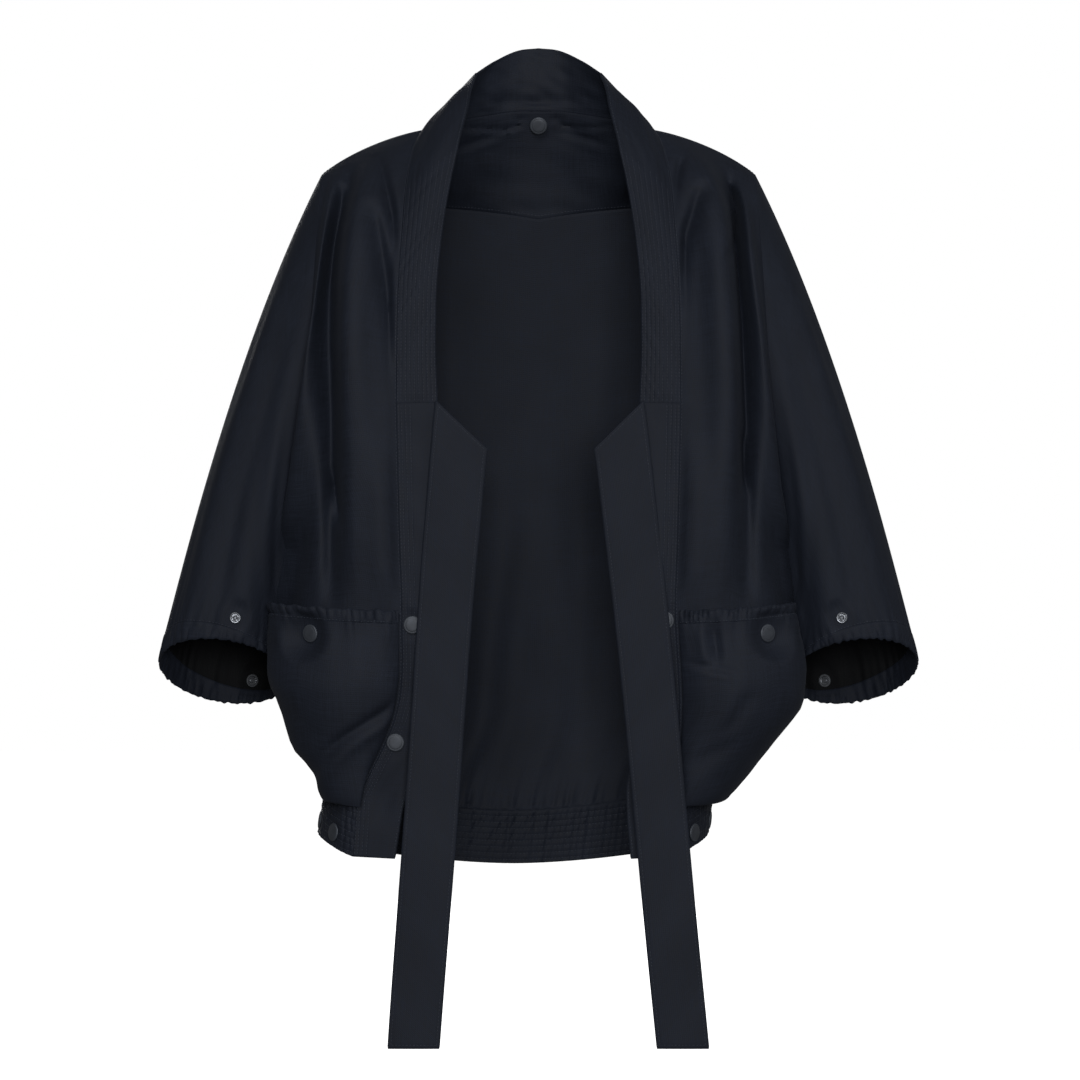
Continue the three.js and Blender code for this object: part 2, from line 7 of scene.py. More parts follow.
import bpy
import numpy as np
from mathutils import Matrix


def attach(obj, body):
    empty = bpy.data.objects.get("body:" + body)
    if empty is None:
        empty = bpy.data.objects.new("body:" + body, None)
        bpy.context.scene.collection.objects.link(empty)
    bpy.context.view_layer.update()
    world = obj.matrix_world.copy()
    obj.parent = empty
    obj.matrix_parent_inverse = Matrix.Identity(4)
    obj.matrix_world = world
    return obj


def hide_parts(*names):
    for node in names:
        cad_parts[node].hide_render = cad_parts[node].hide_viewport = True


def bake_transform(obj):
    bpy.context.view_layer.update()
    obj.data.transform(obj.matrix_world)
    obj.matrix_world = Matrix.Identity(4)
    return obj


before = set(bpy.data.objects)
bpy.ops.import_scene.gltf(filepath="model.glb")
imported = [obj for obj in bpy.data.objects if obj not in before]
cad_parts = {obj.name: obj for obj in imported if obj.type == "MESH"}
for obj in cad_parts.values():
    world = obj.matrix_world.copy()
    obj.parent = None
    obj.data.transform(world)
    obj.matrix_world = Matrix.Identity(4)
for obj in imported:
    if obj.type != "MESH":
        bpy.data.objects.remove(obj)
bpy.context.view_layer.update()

bl_info = {
    "name": "Cape Jacket",
    "version": (1, 0, 0),
    "blender": (4, 5, 0),
    "location": "View3D > Sidebar > Cape Jacket",
    "description": "Sews an open-front cape jacket with bands, pouch pockets, ties and press snaps",
    "category": "Add Mesh",
}

MM = 0.001
SIDES = {"left": 1, "right": -1}

# ---------------------------------------------------------------- pattern, in millimetres
COLLAR_TOP = 69
NECK_SEAM = 10
NECK_HALF = 109
SHOULDER_HALF = 205
SHOULDER_DROP = 54
YOKE_DROP = 93
WAIST_DROP = 273
UNDERARM_HALF = 228
UNDERARM_DROP = 404
ARMHOLE_DEPTH = 64
POCKET_DROP = 460
BODY_DROP = 711
HEM_BAND = 50
HEM_RISE = 34
HEM_HALF = 181
HEM_LEAN = -24
BAND_WIDTH = 38
FRONT_DEPTH = 119
BACK_DEPTH = 104
BAND_OUTER = FRONT_DEPTH + 14
CUFF_OUT = 360
CUFF_IN = 238
CUFF_DROP = 525
CUFF_DEPTH = 60
CUFF_TILT = 31
CUFF_HEM = 11
ARMHOLE_EASE = (0.3, 0.8)
TIE_WIDTH = 47.5
TIE_DROP = 876
TIE_CUT = 45
MOUTH_HEM = 11
POUCH_DEPTH = 27
YOKE_TURN = 35

HEM_DROP = BODY_DROP - HEM_RISE
HEM_SEAM = BODY_DROP - HEM_BAND
SIDE_END = HEM_SEAM - HEM_RISE - 6
LEAN_START = HEM_SEAM - 100

# Steps of each seam before refining, shared by the pieces that meet there.
NECK_STEPS = 4
SHOULDER_STEPS = 7
BACK_STEPS = NECK_STEPS + SHOULDER_STEPS
BAND_STEPS = 9
EDGE_STEPS = 10
ARM_STEPS = 12
SIDE_STEPS = BAND_STEPS + EDGE_STEPS - ARM_STEPS
HEM_END_STEPS = 2
FINE = 12


# ---------------------------------------------------------------- what a user may change
def length(name, description, default, low, high):
    return bpy.props.FloatProperty(
        name=name, description=description, default=default * MM, min=low * MM, max=high * MM,
        precision=4, subtype="DISTANCE", unit="LENGTH")


def colour(name, description, default):
    return bpy.props.StringProperty(name=name, description=f"{description}, sRGB hex",
                                    default=default)


class CapeJacketSizes(bpy.types.PropertyGroup):
    """Sizes of the cloth and its sewing."""

    cloth: length("Cloth", "Thickness of a panel with its lining", 1.1, 0.4, 2)
    doubled: length("Doubled cloth", "Thickness of a folded band", 1.9, 0.8, 3)
    row_space: length("Stitch rows", "Distance between rows of topstitching", 4.2, 3, 8)
    stitch: length("Stitch length", "Distance from one stitch to the next", 3.2, 2, 6)
    thread: length("Thread", "Thickness of the sewing thread", 0.5, 0.2, 1)
    fold_share: bpy.props.FloatProperty(
        name="Folds", description="Depth of the draped folds against the usual depth",
        default=1.0, min=0.0, max=1.5, subtype="FACTOR")


class CapeJacketColours(bpy.types.PropertyGroup):
    """Colours of the cloth, thread and snaps."""

    shell: colour("Shell", "Outer cloth", "#141821")
    band: colour("Bands", "Bands and ties", "#131720")
    # The sleeves' inside gets a much darker colour than the cloth: painted shade for the inside of a
    # sleeve, which lies in shade.
    lining: colour("Sleeve inside painted shade", "Inside of the sleeves, darkened as painted shade", "#060709")
    thread: colour("Thread", "Sewing thread", "#262b36")
    cap: colour("Snap caps", "Painted snap caps", "#34383f")
    ring: colour("Snap rings", "Posts, studs and sockets", "#63666b")
    floor: colour("Floor", "Studio floor", "#f4f4f4")


# ---------------------------------------------------------------- curves and small sums
def ramp(value, low, high):
    share = np.clip((value - low) / (high - low), 0, 1)
    return share * share * (3 - 2 * share)


def bump(distance, width):
    return np.exp(-np.square(distance / width))


def lean(z):
    return HEM_LEAN * ramp(-z, LEAN_START, HEM_SEAM)


def at(side, x, y, z):
    return np.array([side * x + lean(z), y, z], float)


def mix(a, b, share):
    return a + (b - a) * share


def through(points, count):
    """A smooth curve through points, in evenly spaced steps."""
    p = np.array(points, float)
    p = np.vstack([2 * p[0] - p[1], p, 2 * p[-1] - p[-2]])
    t = np.linspace(0, 1, 61)[:, None]
    parts = []
    for a, b, c, d in zip(p, p[1:], p[2:], p[3:]):
        parts.append(0.5 * (2 * b + (c - a) * t + (2 * a - 5 * b + 4 * c - d) * t**2
                            + (3 * b - a - 3 * c + d) * t**3))
    line = np.vstack([parts[0]] + [q[1:] for q in parts[1:]])
    far = np.concatenate([[0], np.cumsum(np.linalg.norm(np.diff(line, axis=0), axis=1))])
    even = np.linspace(0, far[-1], count + 1)
    return np.stack([np.interp(even, far, line[:, k]) for k in range(3)], 1)


def arc(a, b, c, d, count):
    """A curve that leaves a towards b and reaches d from c."""
    t = np.linspace(0, 1, count + 1)[:, None]
    return a * (1 - t)**3 + 3 * b * (1 - t)**2 * t + 3 * c * (1 - t) * t**2 + d * t**3


def chain(*lines):
    return np.vstack([lines[0]] + [line[1:] for line in lines[1:]])


def strip(top, bottom, rows):
    share = np.linspace(0, 1, rows + 1)[:, None, None]
    return top[None] * (1 - share) + bottom[None] * share


def across(build):
    """Both halves of a row, from the wearer's right to the left."""
    left, right = build(1), build(-1)
    if left.ndim == 2:
        return np.vstack([right[:0:-1], left])
    return np.concatenate([right[:, :0:-1], left], axis=1)


def ripple(where, seed, waves=7, spread=0.45):
    """Uneven waves about 1 high along a line of numbers measured in waves."""
    rng = np.random.default_rng(seed)
    total = np.zeros_like(where, float)
    for k in range(waves):
        near = 1 + spread * (rng.random() * 2 - 1)
        total += np.sin(2 * math.pi * (where * near + rng.random()))
    return total / math.sqrt(waves)


def crumple(across_mm, down_mm, seed, wide, tall):
    """Soft uneven creases about 1 high, of a given width and height in millimetres."""
    rng = np.random.default_rng(seed)
    total = np.zeros(np.broadcast(across_mm, down_mm).shape)
    for k in range(9):
        a = rng.normal(0, 1) / wide
        b = rng.normal(0, 1) / tall
        total += np.sin(2 * math.pi * (a * across_mm + b * down_mm + rng.random()))
    return total / 3


# ---------------------------------------------------------------- seam lines
def armhole_point(side, degrees):
    turn = np.radians(degrees)
    down = (1 - np.cos(turn)) / 2
    x = mix(SHOULDER_HALF, UNDERARM_HALF, down)
    z = -mix(SHOULDER_DROP, UNDERARM_DROP, down)
    return np.stack([side * x + lean(z), -ARMHOLE_DEPTH * np.sin(turn), z], -1)


def armhole(side, start, end, count):
    return armhole_point(side, np.linspace(start, end, count + 1))


def seams(side, fine=FINE):
    def spot(x, y, z):
        return at(side, x, y, z)

    def under(share):
        return -mix(UNDERARM_DROP, SIDE_END, share)

    def low(share):
        return -mix(WAIST_DROP, HEM_SEAM - 15, share)

    neck_point = spot(NECK_HALF, -4, -12)
    waist = spot(BAND_OUTER, -FRONT_DEPTH, -WAIST_DROP)
    waist_in = spot(BAND_OUTER - BAND_WIDTH, 3 - FRONT_DEPTH, -WAIST_DROP)
    hem_side = spot(HEM_HALF, 0, -SIDE_END)
    hem_front = spot(HEM_HALF - 33, -104, 15 - HEM_SEAM)
    collar_side = spot(NECK_HALF - 50, 20, COLLAR_TOP - 26)
    tip = -BODY_DROP + 14
    return {
        "neck": through([spot(0, 64, NECK_SEAM), spot(22, 62.5, NECK_SEAM - 0.5),
                         spot(0.41 * NECK_HALF, 55, 6), spot(0.81 * NECK_HALF, 26, -3), neck_point],
                        NECK_STEPS * fine),
        "collar": through([spot(0, 64, COLLAR_TOP), spot(20, 61, COLLAR_TOP - 2.5),
                           spot(40, 47, COLLAR_TOP - 12), collar_side], NECK_STEPS * fine),
        "shoulder": arc(neck_point, spot(NECK_HALF + 31, 3, -17),
                        spot(SHOULDER_HALF - 23, 3, 20 - SHOULDER_DROP),
                        spot(SHOULDER_HALF, 0, -SHOULDER_DROP), SHOULDER_STEPS * fine),
        "band_outer": through([neck_point, spot(117, -26, -28), spot(124, -56, -62),
                               spot(BAND_OUTER - 5, -84, -110), spot(BAND_OUTER - 1, -106, -180),
                               waist], BAND_STEPS * fine),
        "band_inner": through([collar_side, spot(64, -12, 27), spot(67, -32, 8), spot(76, -56, -30),
                               spot(BAND_OUTER - BAND_WIDTH - 8, -78, -85),
                               spot(BAND_OUTER - BAND_WIDTH, -100, -150),
                               spot(BAND_OUTER - BAND_WIDTH + 2, -109, -215), waist_in],
                              BAND_STEPS * fine),
        "edge_outer": through([waist, spot(BAND_OUTER - 3, -122, low(0.34)),
                               spot(BAND_OUTER - 5, -120, low(0.53)),
                               spot(BAND_OUTER - 1, -112, low(0.77)), hem_front],
                              EDGE_STEPS * fine),
        "edge_inner": through([waist_in, spot(BAND_OUTER - 43, -121, low(0.34)),
                               spot(BAND_OUTER - 44, -120, low(0.53)),
                               spot(BAND_OUTER - 40, -114, low(0.77)),
                               spot(BAND_OUTER - 30, -108, low(0.97)),
                               spot(BAND_OUTER - 22, -106, -BODY_DROP + 12)],
                              (EDGE_STEPS + HEM_END_STEPS) * fine),
        "hem_end": through([hem_front, spot(HEM_HALF - 31, -104, tip)], HEM_END_STEPS * fine),
        "side": through([spot(UNDERARM_HALF, 0, -UNDERARM_DROP), spot(209, 0, under(0.3)),
                         spot(204, 0, under(0.72)), hem_side], SIDE_STEPS * fine),
        "front_hem": arc(hem_front, spot(HEM_HALF - 15, -100, 21 - HEM_SEAM),
                         spot(HEM_HALF + 7, -62, -SIDE_END - 6), hem_side, SHOULDER_STEPS * fine),
        "front_hem_edge": arc(spot(HEM_HALF - 31, -104, tip), spot(HEM_HALF - 13, -100, tip + 6),
                              spot(HEM_HALF + 7, -62, -HEM_DROP), spot(HEM_HALF + 2, 0, -HEM_DROP),
                              SHOULDER_STEPS * fine),
        "back_hem": arc(spot(0, BACK_DEPTH - 7, -HEM_SEAM), spot(68, BACK_DEPTH - 6, -HEM_SEAM),
                        spot(HEM_HALF + 8, 74, -mix(HEM_SEAM, SIDE_END, 0.5)), hem_side,
                        BACK_STEPS * fine),
        "back_hem_edge": arc(spot(0, BACK_DEPTH - 5, -BODY_DROP),
                             spot(68, BACK_DEPTH - 4, -BODY_DROP),
                             spot(HEM_HALF + 10, 76, -mix(BODY_DROP, HEM_DROP, 0.5)),
                             spot(HEM_HALF + 2, 0, -HEM_DROP), BACK_STEPS * fine),
        "yoke": arc(spot(0, BACK_DEPTH - 14, -YOKE_DROP), spot(60, BACK_DEPTH - 12, 11 - YOKE_DROP),
                    spot(150, 78, 17 - YOKE_DROP), armhole_point(side, -YOKE_TURN),
                    BACK_STEPS * fine),
    }


SEAMS = {side: seams(side) for side in SIDES.values()}


# ---------------------------------------------------------------- cloth surfaces
def directions(grid, out, closed=False):
    """The direction each point of a cloth faces, on the side nearer to out."""
    if closed:
        wrapped = np.concatenate([grid[:, -1:], grid, grid[:, :1]], axis=1)
        over = (wrapped[:, 2:] - wrapped[:, :-2]) / 2
    else:
        over = np.gradient(grid, axis=1)
    down = np.gradient(grid, axis=0)
    facing = np.cross(down, over)
    facing /= np.maximum(np.linalg.norm(facing, axis=2, keepdims=True), 1e-9)
    if (facing * out).sum() < 0:
        facing = -facing
    return facing


def lengths(grid):
    """How far each point lies along its row and its column, in millimetres."""
    over = np.linalg.norm(np.diff(grid, axis=1), axis=2)
    down = np.linalg.norm(np.diff(grid, axis=0), axis=2)
    over = np.concatenate([np.zeros((grid.shape[0], 1)), np.cumsum(over, axis=1)], axis=1)
    down = np.concatenate([np.zeros((1, grid.shape[1])), np.cumsum(down, axis=0)], axis=0)
    return over, down


def sheet_faces(rows, cols, closed):
    """Quads of the two sides of a sheet and of its rim, which has a row of points of its own."""
    spans = cols if closed else cols - 1
    j, i = np.meshgrid(np.arange(rows - 1), np.arange(spans), indexing="ij")
    a = j * cols + i
    b = j * cols + (i + 1) % cols
    c = b + cols
    d = a + cols
    outer = np.stack([a, d, c, b], -1).reshape(-1, 4)
    inner = np.stack([a, b, c, d], -1).reshape(-1, 4) + rows * cols
    last = (rows - 1) * cols
    if closed:
        loops = [(np.arange(cols), False), (last + np.arange(cols), True)]
    else:
        round_it = np.concatenate([
            np.arange(cols - 1), np.arange(rows - 1) * cols + cols - 1,
            last + np.arange(cols - 1, 0, -1), np.arange(rows - 1, 0, -1) * cols])
        loops = [(round_it, False)]
    rim, edge_of, used = [], [], 2 * rows * cols
    for loop, turned in loops:
        count = len(loop)
        here = used + np.arange(count)
        follow = np.roll(np.arange(count), -1)
        upper = np.stack([loop, loop[follow], here[follow], here], -1)
        lower = np.stack([here, here[follow], loop[follow] + rows * cols, loop + rows * cols], -1)
        for quads in (upper, lower):
            rim.append(quads[:, ::-1] if turned else quads)
        edge_of.append(loop)
        used += count
    return np.vstack([outer, inner] + rim), np.concatenate(edge_of)


def sheet_mesh(name, grid, facing, thick, closed=False, puff=None, roll=0.5):
    """A closed sheet of cloth about the grid, with turned edges and its grain as a map."""
    rows, cols = grid.shape[:2]
    puff = np.zeros((rows, cols)) if puff is None else puff
    half = (thick / 2 + puff)[:, :, None]
    outer, inner = grid + facing * half, grid - facing * half
    faces, edge = sheet_faces(rows, cols, closed)
    flat = grid.reshape(-1, 3)
    away = np.zeros_like(grid)
    away[0] += grid[0] - grid[1]
    away[-1] += grid[-1] - grid[-2]
    if not closed:
        away[:, 0] += grid[:, 0] - grid[:, 1]
        away[:, -1] += grid[:, -1] - grid[:, -2]
    away = away.reshape(-1, 3)[edge]
    away /= np.maximum(np.linalg.norm(away, axis=1, keepdims=True), 1e-9)
    rim = flat[edge] + away * thick * roll
    points = np.vstack([outer.reshape(-1, 3), inner.reshape(-1, 3), rim]) * MM
    p = points[faces]
    volume = (p[:, 0] * np.cross(p[:, 1], p[:, 2])).sum()
    volume += (p[:, 0] * np.cross(p[:, 2], p[:, 3])).sum()
    if volume < 0:
        faces = faces[:, ::-1]
    over, down = lengths(grid)
    over = over - over[:, cols // 2:cols // 2 + 1]
    grain = np.stack([over, down], -1).reshape(-1, 2) * MM
    grain = np.vstack([grain, grain, grain[edge]])
    return mesh_object(name, points, faces, grain[faces.ravel()])


def mesh_object(name, points, faces, grain=None, sharp=55):
    mesh = bpy.data.meshes.new(name)
    count, corners = len(faces), faces.shape[1]
    mesh.vertices.add(len(points))
    mesh.vertices.foreach_set("co", np.ascontiguousarray(points, np.float32).ravel())
    mesh.loops.add(count * corners)
    mesh.loops.foreach_set("vertex_index", np.ascontiguousarray(faces, np.int32).ravel())
    mesh.polygons.add(count)
    mesh.polygons.foreach_set("loop_start", np.arange(0, count * corners, corners, dtype=np.int32))
    mesh.update(calc_edges=True)
    mesh.validate()
    mesh.polygons.foreach_set("use_smooth", np.ones(count, bool))
    if grain is not None:
        layer = mesh.uv_layers.new(name="grain")
        layer.uv.foreach_set("vector", np.ascontiguousarray(grain, np.float32).ravel())
    mesh.set_sharp_from_angle(angle=math.radians(sharp))
    piece = bpy.data.objects.new(name, mesh)
    bpy.context.scene.collection.objects.link(piece)
    return piece


def loose_mesh(name, points, faces):
    """An object of points in millimetres and faces of any number of corners."""
    mesh = bpy.data.meshes.new(name)
    mesh.from_pydata([tuple(np.asarray(p) * MM) for p in points], [], faces)
    mesh.update()
    mesh.polygons.foreach_set("use_smooth", np.ones(len(faces), bool))
    piece = bpy.data.objects.new(name, mesh)
    bpy.context.scene.collection.objects.link(piece)
    return piece


def dress(piece, material, body, nodes=()):
    """Gives a piece its finish, its movement and the solids that it stands for.

    A body is a name, which the piece is attached to; for cloth that bends away from the garment it
    is a name and two points, which are not used: the piece is only fixed where it stands.
    """
    piece.data.materials.append(material)
    if isinstance(body, str):
        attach(piece, body)
    else:
        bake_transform(piece)
    if nodes:
        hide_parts(*nodes)
    return piece


def sew_panel(name, grid, facing, thick, cloth, body="garment",
              closed=False, puff=None, lined=False):
    """A panel of cloth that stands for the solid of the same name.

    The cloth is shell or band.
    """
    piece = sheet_mesh(f"{name}_cloth", grid, facing, thick, closed, puff)
    dress(piece, finish_of(cloth), body, (name,))
    # With lined, the inner faces take the much darker sleeve-inside colour: painted shade on the
    # inside of a sleeve.
    if lined:
        piece.data.materials.append(finish_of("lining"))
        side = (grid.shape[1] if closed else grid.shape[1] - 1) * (grid.shape[0] - 1)
        index = np.zeros(len(piece.data.polygons), np.int32)
        index[side:2 * side] = 1
        piece.data.polygons.foreach_set("material_index", index)


def sample(grid, rows, cols):
    """Points of a grid at fractional rows and columns."""
    j = np.clip(np.floor(rows).astype(int), 0, grid.shape[0] - 2)
    i = np.clip(np.floor(cols).astype(int), 0, grid.shape[1] - 2)
    fj, fi = (rows - j)[..., None], (cols - i)[..., None]
    upper = grid[j, i] * (1 - fi) + grid[j, i + 1] * fi
    lower = grid[j + 1, i] * (1 - fi) + grid[j + 1, i + 1] * fi
    return upper * (1 - fj) + lower * fj


STITCH_RING = 5


def topstitch(name, grid, facing, lift, lines, body="garment"):
    """Stitches along lines of fractional rows and columns, lifted off the cloth's middle."""
    face = grid + facing * lift[..., None]
    sizes = bpy.context.scene.cape_jacket_sizes
    pitch, radius = sizes.stitch / MM, sizes.thread / MM / 2
    long = pitch * 0.72
    turn = np.linspace(0, 2 * math.pi, STITCH_RING, endpoint=False)
    stations = [(-0.5, 0.0), (-0.36, 0.85), (0.0, 1.0), (0.36, 0.85), (0.5, 0.0)]
    rings = [s for s in stations if s[1] > 0]
    points, faces = [], []
    for rows, cols in lines:
        line, out = sample(face, rows, cols), sample(facing, rows, cols)
        far = np.concatenate([[0], np.cumsum(np.linalg.norm(np.diff(line, axis=0), axis=1))])
        count = int(far[-1] // pitch)
        if count < 1:
            continue
        middle = (np.arange(count) + 0.5) * far[-1] / count
        centre = np.stack([np.interp(middle, far, line[:, k]) for k in range(3)], 1)
        up = np.stack([np.interp(middle, far, out[:, k]) for k in range(3)], 1)
        ahead = np.stack([np.interp(middle + 1, far, line[:, k])
                          - np.interp(middle - 1, far, line[:, k]) for k in range(3)], 1)
        ahead /= np.linalg.norm(ahead, axis=1, keepdims=True)
        up /= np.linalg.norm(up, axis=1, keepdims=True)
        beside = np.cross(ahead, up)
        for c, a, u, b in zip(centre, ahead, up, beside):
            start = len(points)
            points.append(c + a * long * stations[0][0] - u * radius * 0.6)
            for along, wide in rings:
                for k in range(STITCH_RING):
                    points.append(c + a * long * along + (b * np.cos(turn[k]) + u * np.sin(turn[k]))
                                  * radius * wide + u * radius * 0.35)
            points.append(c + a * long * stations[-1][0] - u * radius * 0.6)
            last = start + 1 + STITCH_RING * len(rings)
            for k in range(STITCH_RING):
                n = (k + 1) % STITCH_RING
                faces.append((start, start + 1 + n, start + 1 + k))
                for r in range(len(rings) - 1):
                    low = start + 1 + r * STITCH_RING
                    faces.append((low + k, low + n, low + STITCH_RING + n, low + STITCH_RING + k))
                low = start + 1 + (len(rings) - 1) * STITCH_RING
                faces.append((low + k, low + n, last))
    dress(loose_mesh(name, points, faces), finish_of("thread"), body, ())


# ---------------------------------------------------------------- how the cloth hangs
# Folds of each front, from the shoulder down: (width inside, width outside, [(drop, out, height)]).
# Out is the distance from the middle of the wearer, and height is towards the front.
FRONT_FOLDS = {
    -1: [
        (17, 9, [(40, 159, 0), (75, 163, 6), (111, 168, 8), (162, 173, 9), (223, 176, 8),
                 (296, 173, 5), (400, 170, 3), (460, 168, 0)]),
        (9, 9, [(45, 178, 0), (75, 182, -7), (120, 187, -13), (162, 190, -15), (263, 194, -13),
                (330, 194, -9), (420, 194, -6), (470, 194, 0)]),
        (9, 7, [(45, 193, 0), (70, 197, 4), (111, 205, 5), (170, 211, 5), (283, 219, 4),
                (400, 225, 0)]),
        (6, 6, [(35, 152, 0), (51, 148, -3), (95, 138, -4), (120, 134, -2), (150, 131, 0)]),
        (7, 8, [(80, 156, 0), (101, 153, -3), (147, 145, -4), (202, 138, -3), (260, 134, 0)]),
        (4, 5, [(330, 190, 0), (350, 190, -5), (375, 186, -5), (395, 184, 0)]),
        (5, 5, [(50, 186, 0), (62, 184, 3), (86, 177, 3), (100, 174, 0)]),
        (13, 13, [(300, 150, 0), (360, 148, 3), (430, 146, 3), (470, 146, 0)]),
    ],
    1: [
        (15, 8, [(30, 148, 0), (55, 155, 5), (90, 165, 8), (131, 170, 9), (182, 173, 9),
                 (243, 175, 8), (300, 176, 5), (400, 174, 3), (460, 172, 0)]),
        (8, 9, [(40, 176, 0), (75, 181, -8), (100, 183, -13), (139, 183, -15), (202, 189, -14),
                (283, 194, -12), (360, 196, -7), (440, 196, -4), (470, 196, 0)]),
        (8, 7, [(60, 190, 0), (95, 195, 4), (142, 200, 6), (202, 208, 5), (283, 215, 4),
                (400, 222, 0)]),
        (5, 6, [(30, 138, 0), (45, 134, -3), (75, 124, -3), (100, 121, 0)]),
        (6, 8, [(60, 155, 0), (75, 151, -3), (111, 139, -4), (151, 132, -4), (200, 128, -2),
                (240, 128, 0)]),
        (3, 4, [(62, 180, 0), (73, 184, -5), (87, 187, -6), (106, 184, -6), (129, 175, -4),
                (140, 171, 0)]),
        (4, 5, [(295, 188, 0), (310, 189, -5), (340, 191, -5), (360, 192, 0)]),
        (13, 13, [(300, 150, 0), (360, 150, 3), (430, 148, 3), (470, 148, 0)]),
    ],
}
RIDGE_HEIGHT = 1.7
VALLEY_DEPTH = 2.7
FOLD_LEAN = 0.7
# How far a front rolls out over its sleeve: drops and distances.
ROLL_DROPS = (70, 100, 131, 180, 223, 283, 350, 404, 450, 480, 520, 600, 680)
ROLL_OUT = {
    -1: (0, 3, 5, 7, 10, 12, 15, 20, 30, 26, 12, 4, 0),
    1: (0, 1, 2, 3, 4, 5, 7, 12, 19, 16, 8, 3, 0),
}


def front_drape(grid, side, share):
    """Moves a front along its folds. The folds die out at its sewn edges."""
    out = side * (grid[:, :, 0] - lean(grid[:, :, 2]))
    drop = -grid[:, :, 2]
    over, down = lengths(grid)
    from_arm = over[:, -1:] - over
    free = ramp(from_arm, 0, 14) * ramp(over, 0, 10) * ramp(down, 0, 45)
    free = free * (1 - ramp(drop, 600, 640))
    height = np.zeros_like(out)
    for inside, outside, line in FRONT_FOLDS[side]:
        drops, places, heights = (np.array(column, float) for column in zip(*line))
        off = out - np.interp(drop, drops, places)
        wide = np.where(off < 0, inside, outside)
        heights = np.where(np.array(heights) < 0, VALLEY_DEPTH, RIDGE_HEIGHT) * heights
        height += np.interp(drop, drops, heights, 0, 0) * bump(off, wide)
    soft = crumple(out, drop, 11 + side, 60, 260) * 0.9
    moved = grid.copy()
    moved[:, :, 1] -= (height + soft) * free * share
    drops, places, heights = (np.array(column, float) for column in zip(*FRONT_FOLDS[side][0][2]))
    crest = bump(out - np.interp(drop, drops, places) - 4, 9)
    crest = crest * np.interp(drop, drops, heights, 0, 0)
    moved[:, :, 0] += side * FOLD_LEAN * crest * free * share
    roll = np.interp(drop, ROLL_DROPS, ROLL_OUT[side]) * bump(from_arm - 30, 24)
    roll = roll * ramp(from_arm, 0, 16)
    moved[:, :, 0] += side * roll * share
    return moved


# ---------------------------------------------------------------- panels as grids of points
def rows_between(inner, outer, count, leave, arrive, top, bottom):
    """Rows from one seam to another, each leaving and arriving by its own handle."""
    t = np.linspace(0, 1, count + 1)[None, :, None]
    a, d = inner[:, None], outer[:, None]
    b, c = (inner + leave)[:, None], (outer + arrive)[:, None]
    grid = a * (1 - t)**3 + 3 * b * (1 - t)**2 * t + 3 * c * (1 - t) * t**2 + d * t**3
    blend = FINE // 2
    for row, line in ((0, top), (len(inner) - 1, bottom)):
        away = line - grid[row]
        for step in range(blend * 3):
            j = row + step if row == 0 else row - step
            grid[j] = grid[j] + away * (1 - ramp(step, 0, blend * 3))
    return grid


def soften(grid, reach=20):
    """Eases out the line that a corner in a seam would draw across the cloth; sewn edges stay."""
    kernel = np.hanning(2 * reach + 3)[1:-1]
    kernel /= kernel.sum()
    before, after = 2 * grid[:1] - grid[reach:0:-1], 2 * grid[-1:] - grid[-2:-reach - 2:-1]
    padded = np.concatenate([before, grid, after])
    smooth = sum(k * padded[i:i + len(grid)] for i, k in enumerate(kernel))
    over, down = lengths(grid)
    inside = ramp(np.minimum(over, over[:, -1:] - over), 1, 26)
    return mix(grid, smooth, inside[:, :, None])


def front_grid(side):
    own = SEAMS[side]
    inner = chain(own["band_outer"], own["edge_outer"])
    outer = chain(armhole(side, 0, 180, ARM_STEPS * FINE), own["side"])
    drop = -(inner[:, 2] + outer[:, 2]) / 2
    out = np.interp(drop, (SHOULDER_DROP, 166, 281, 404, 480, 560), (-20, -9, 0, 0, 80, 56))
    deep = np.interp(drop, (SHOULDER_DROP, 166, 281, 340, 404, 480, 560),
                     (8, 30, 47, 66, 114, 111, 95))
    smooth = np.ones(2 * FINE + 1) / (2 * FINE + 1)
    out, deep = (np.convolve(np.pad(v, FINE, mode="edge"), smooth, "valid") for v in (out, deep))
    arrive = np.stack([side * out, -deep, np.zeros_like(out)], 1)
    leave = np.array([side * 42, -12, 0])
    return soften(rows_between(inner, outer, SHOULDER_STEPS * FINE, leave, arrive, own["shoulder"],
                               own["front_hem"]))


def back_half(side):
    own = SEAMS[side]
    rows = (ARM_STEPS - 2 + SIDE_STEPS) * FINE
    outer = chain(armhole(side, -YOKE_TURN, -180, (ARM_STEPS - 2) * FINE), own["side"])
    centre = through([at(side, 0, y, z) for y, z in (
        (BACK_DEPTH - 14, -YOKE_DROP), (BACK_DEPTH - 8, -YOKE_DROP - 50),
        (BACK_DEPTH - 1, -YOKE_DROP - 150), (BACK_DEPTH, -UNDERARM_DROP),
        (BACK_DEPTH - 1, -HEM_SEAM + 100), (BACK_DEPTH - 7, -HEM_SEAM))], rows)
    drop = -(centre[:, 2] + outer[:, 2]) / 2
    out = np.interp(drop, (SHOULDER_DROP, 229, 330, 404, 480, 560), (-35, -26, -15, -3, 16, 11))
    deep = np.interp(drop, (SHOULDER_DROP, 229, 330, 404, 480, 560), (26, 34, 50, 98, 92, 86))
    smooth = np.ones(2 * FINE + 1) / (2 * FINE + 1)
    out, deep = (np.convolve(np.pad(v, FINE, mode="edge"), smooth, "valid") for v in (out, deep))
    arrive = np.stack([side * out, deep, np.zeros_like(out)], 1)
    leave = np.array([side * 75, 2, 0])
    return rows_between(centre, outer, BACK_STEPS * FINE, leave, arrive, own["yoke"],
                        own["back_hem"])


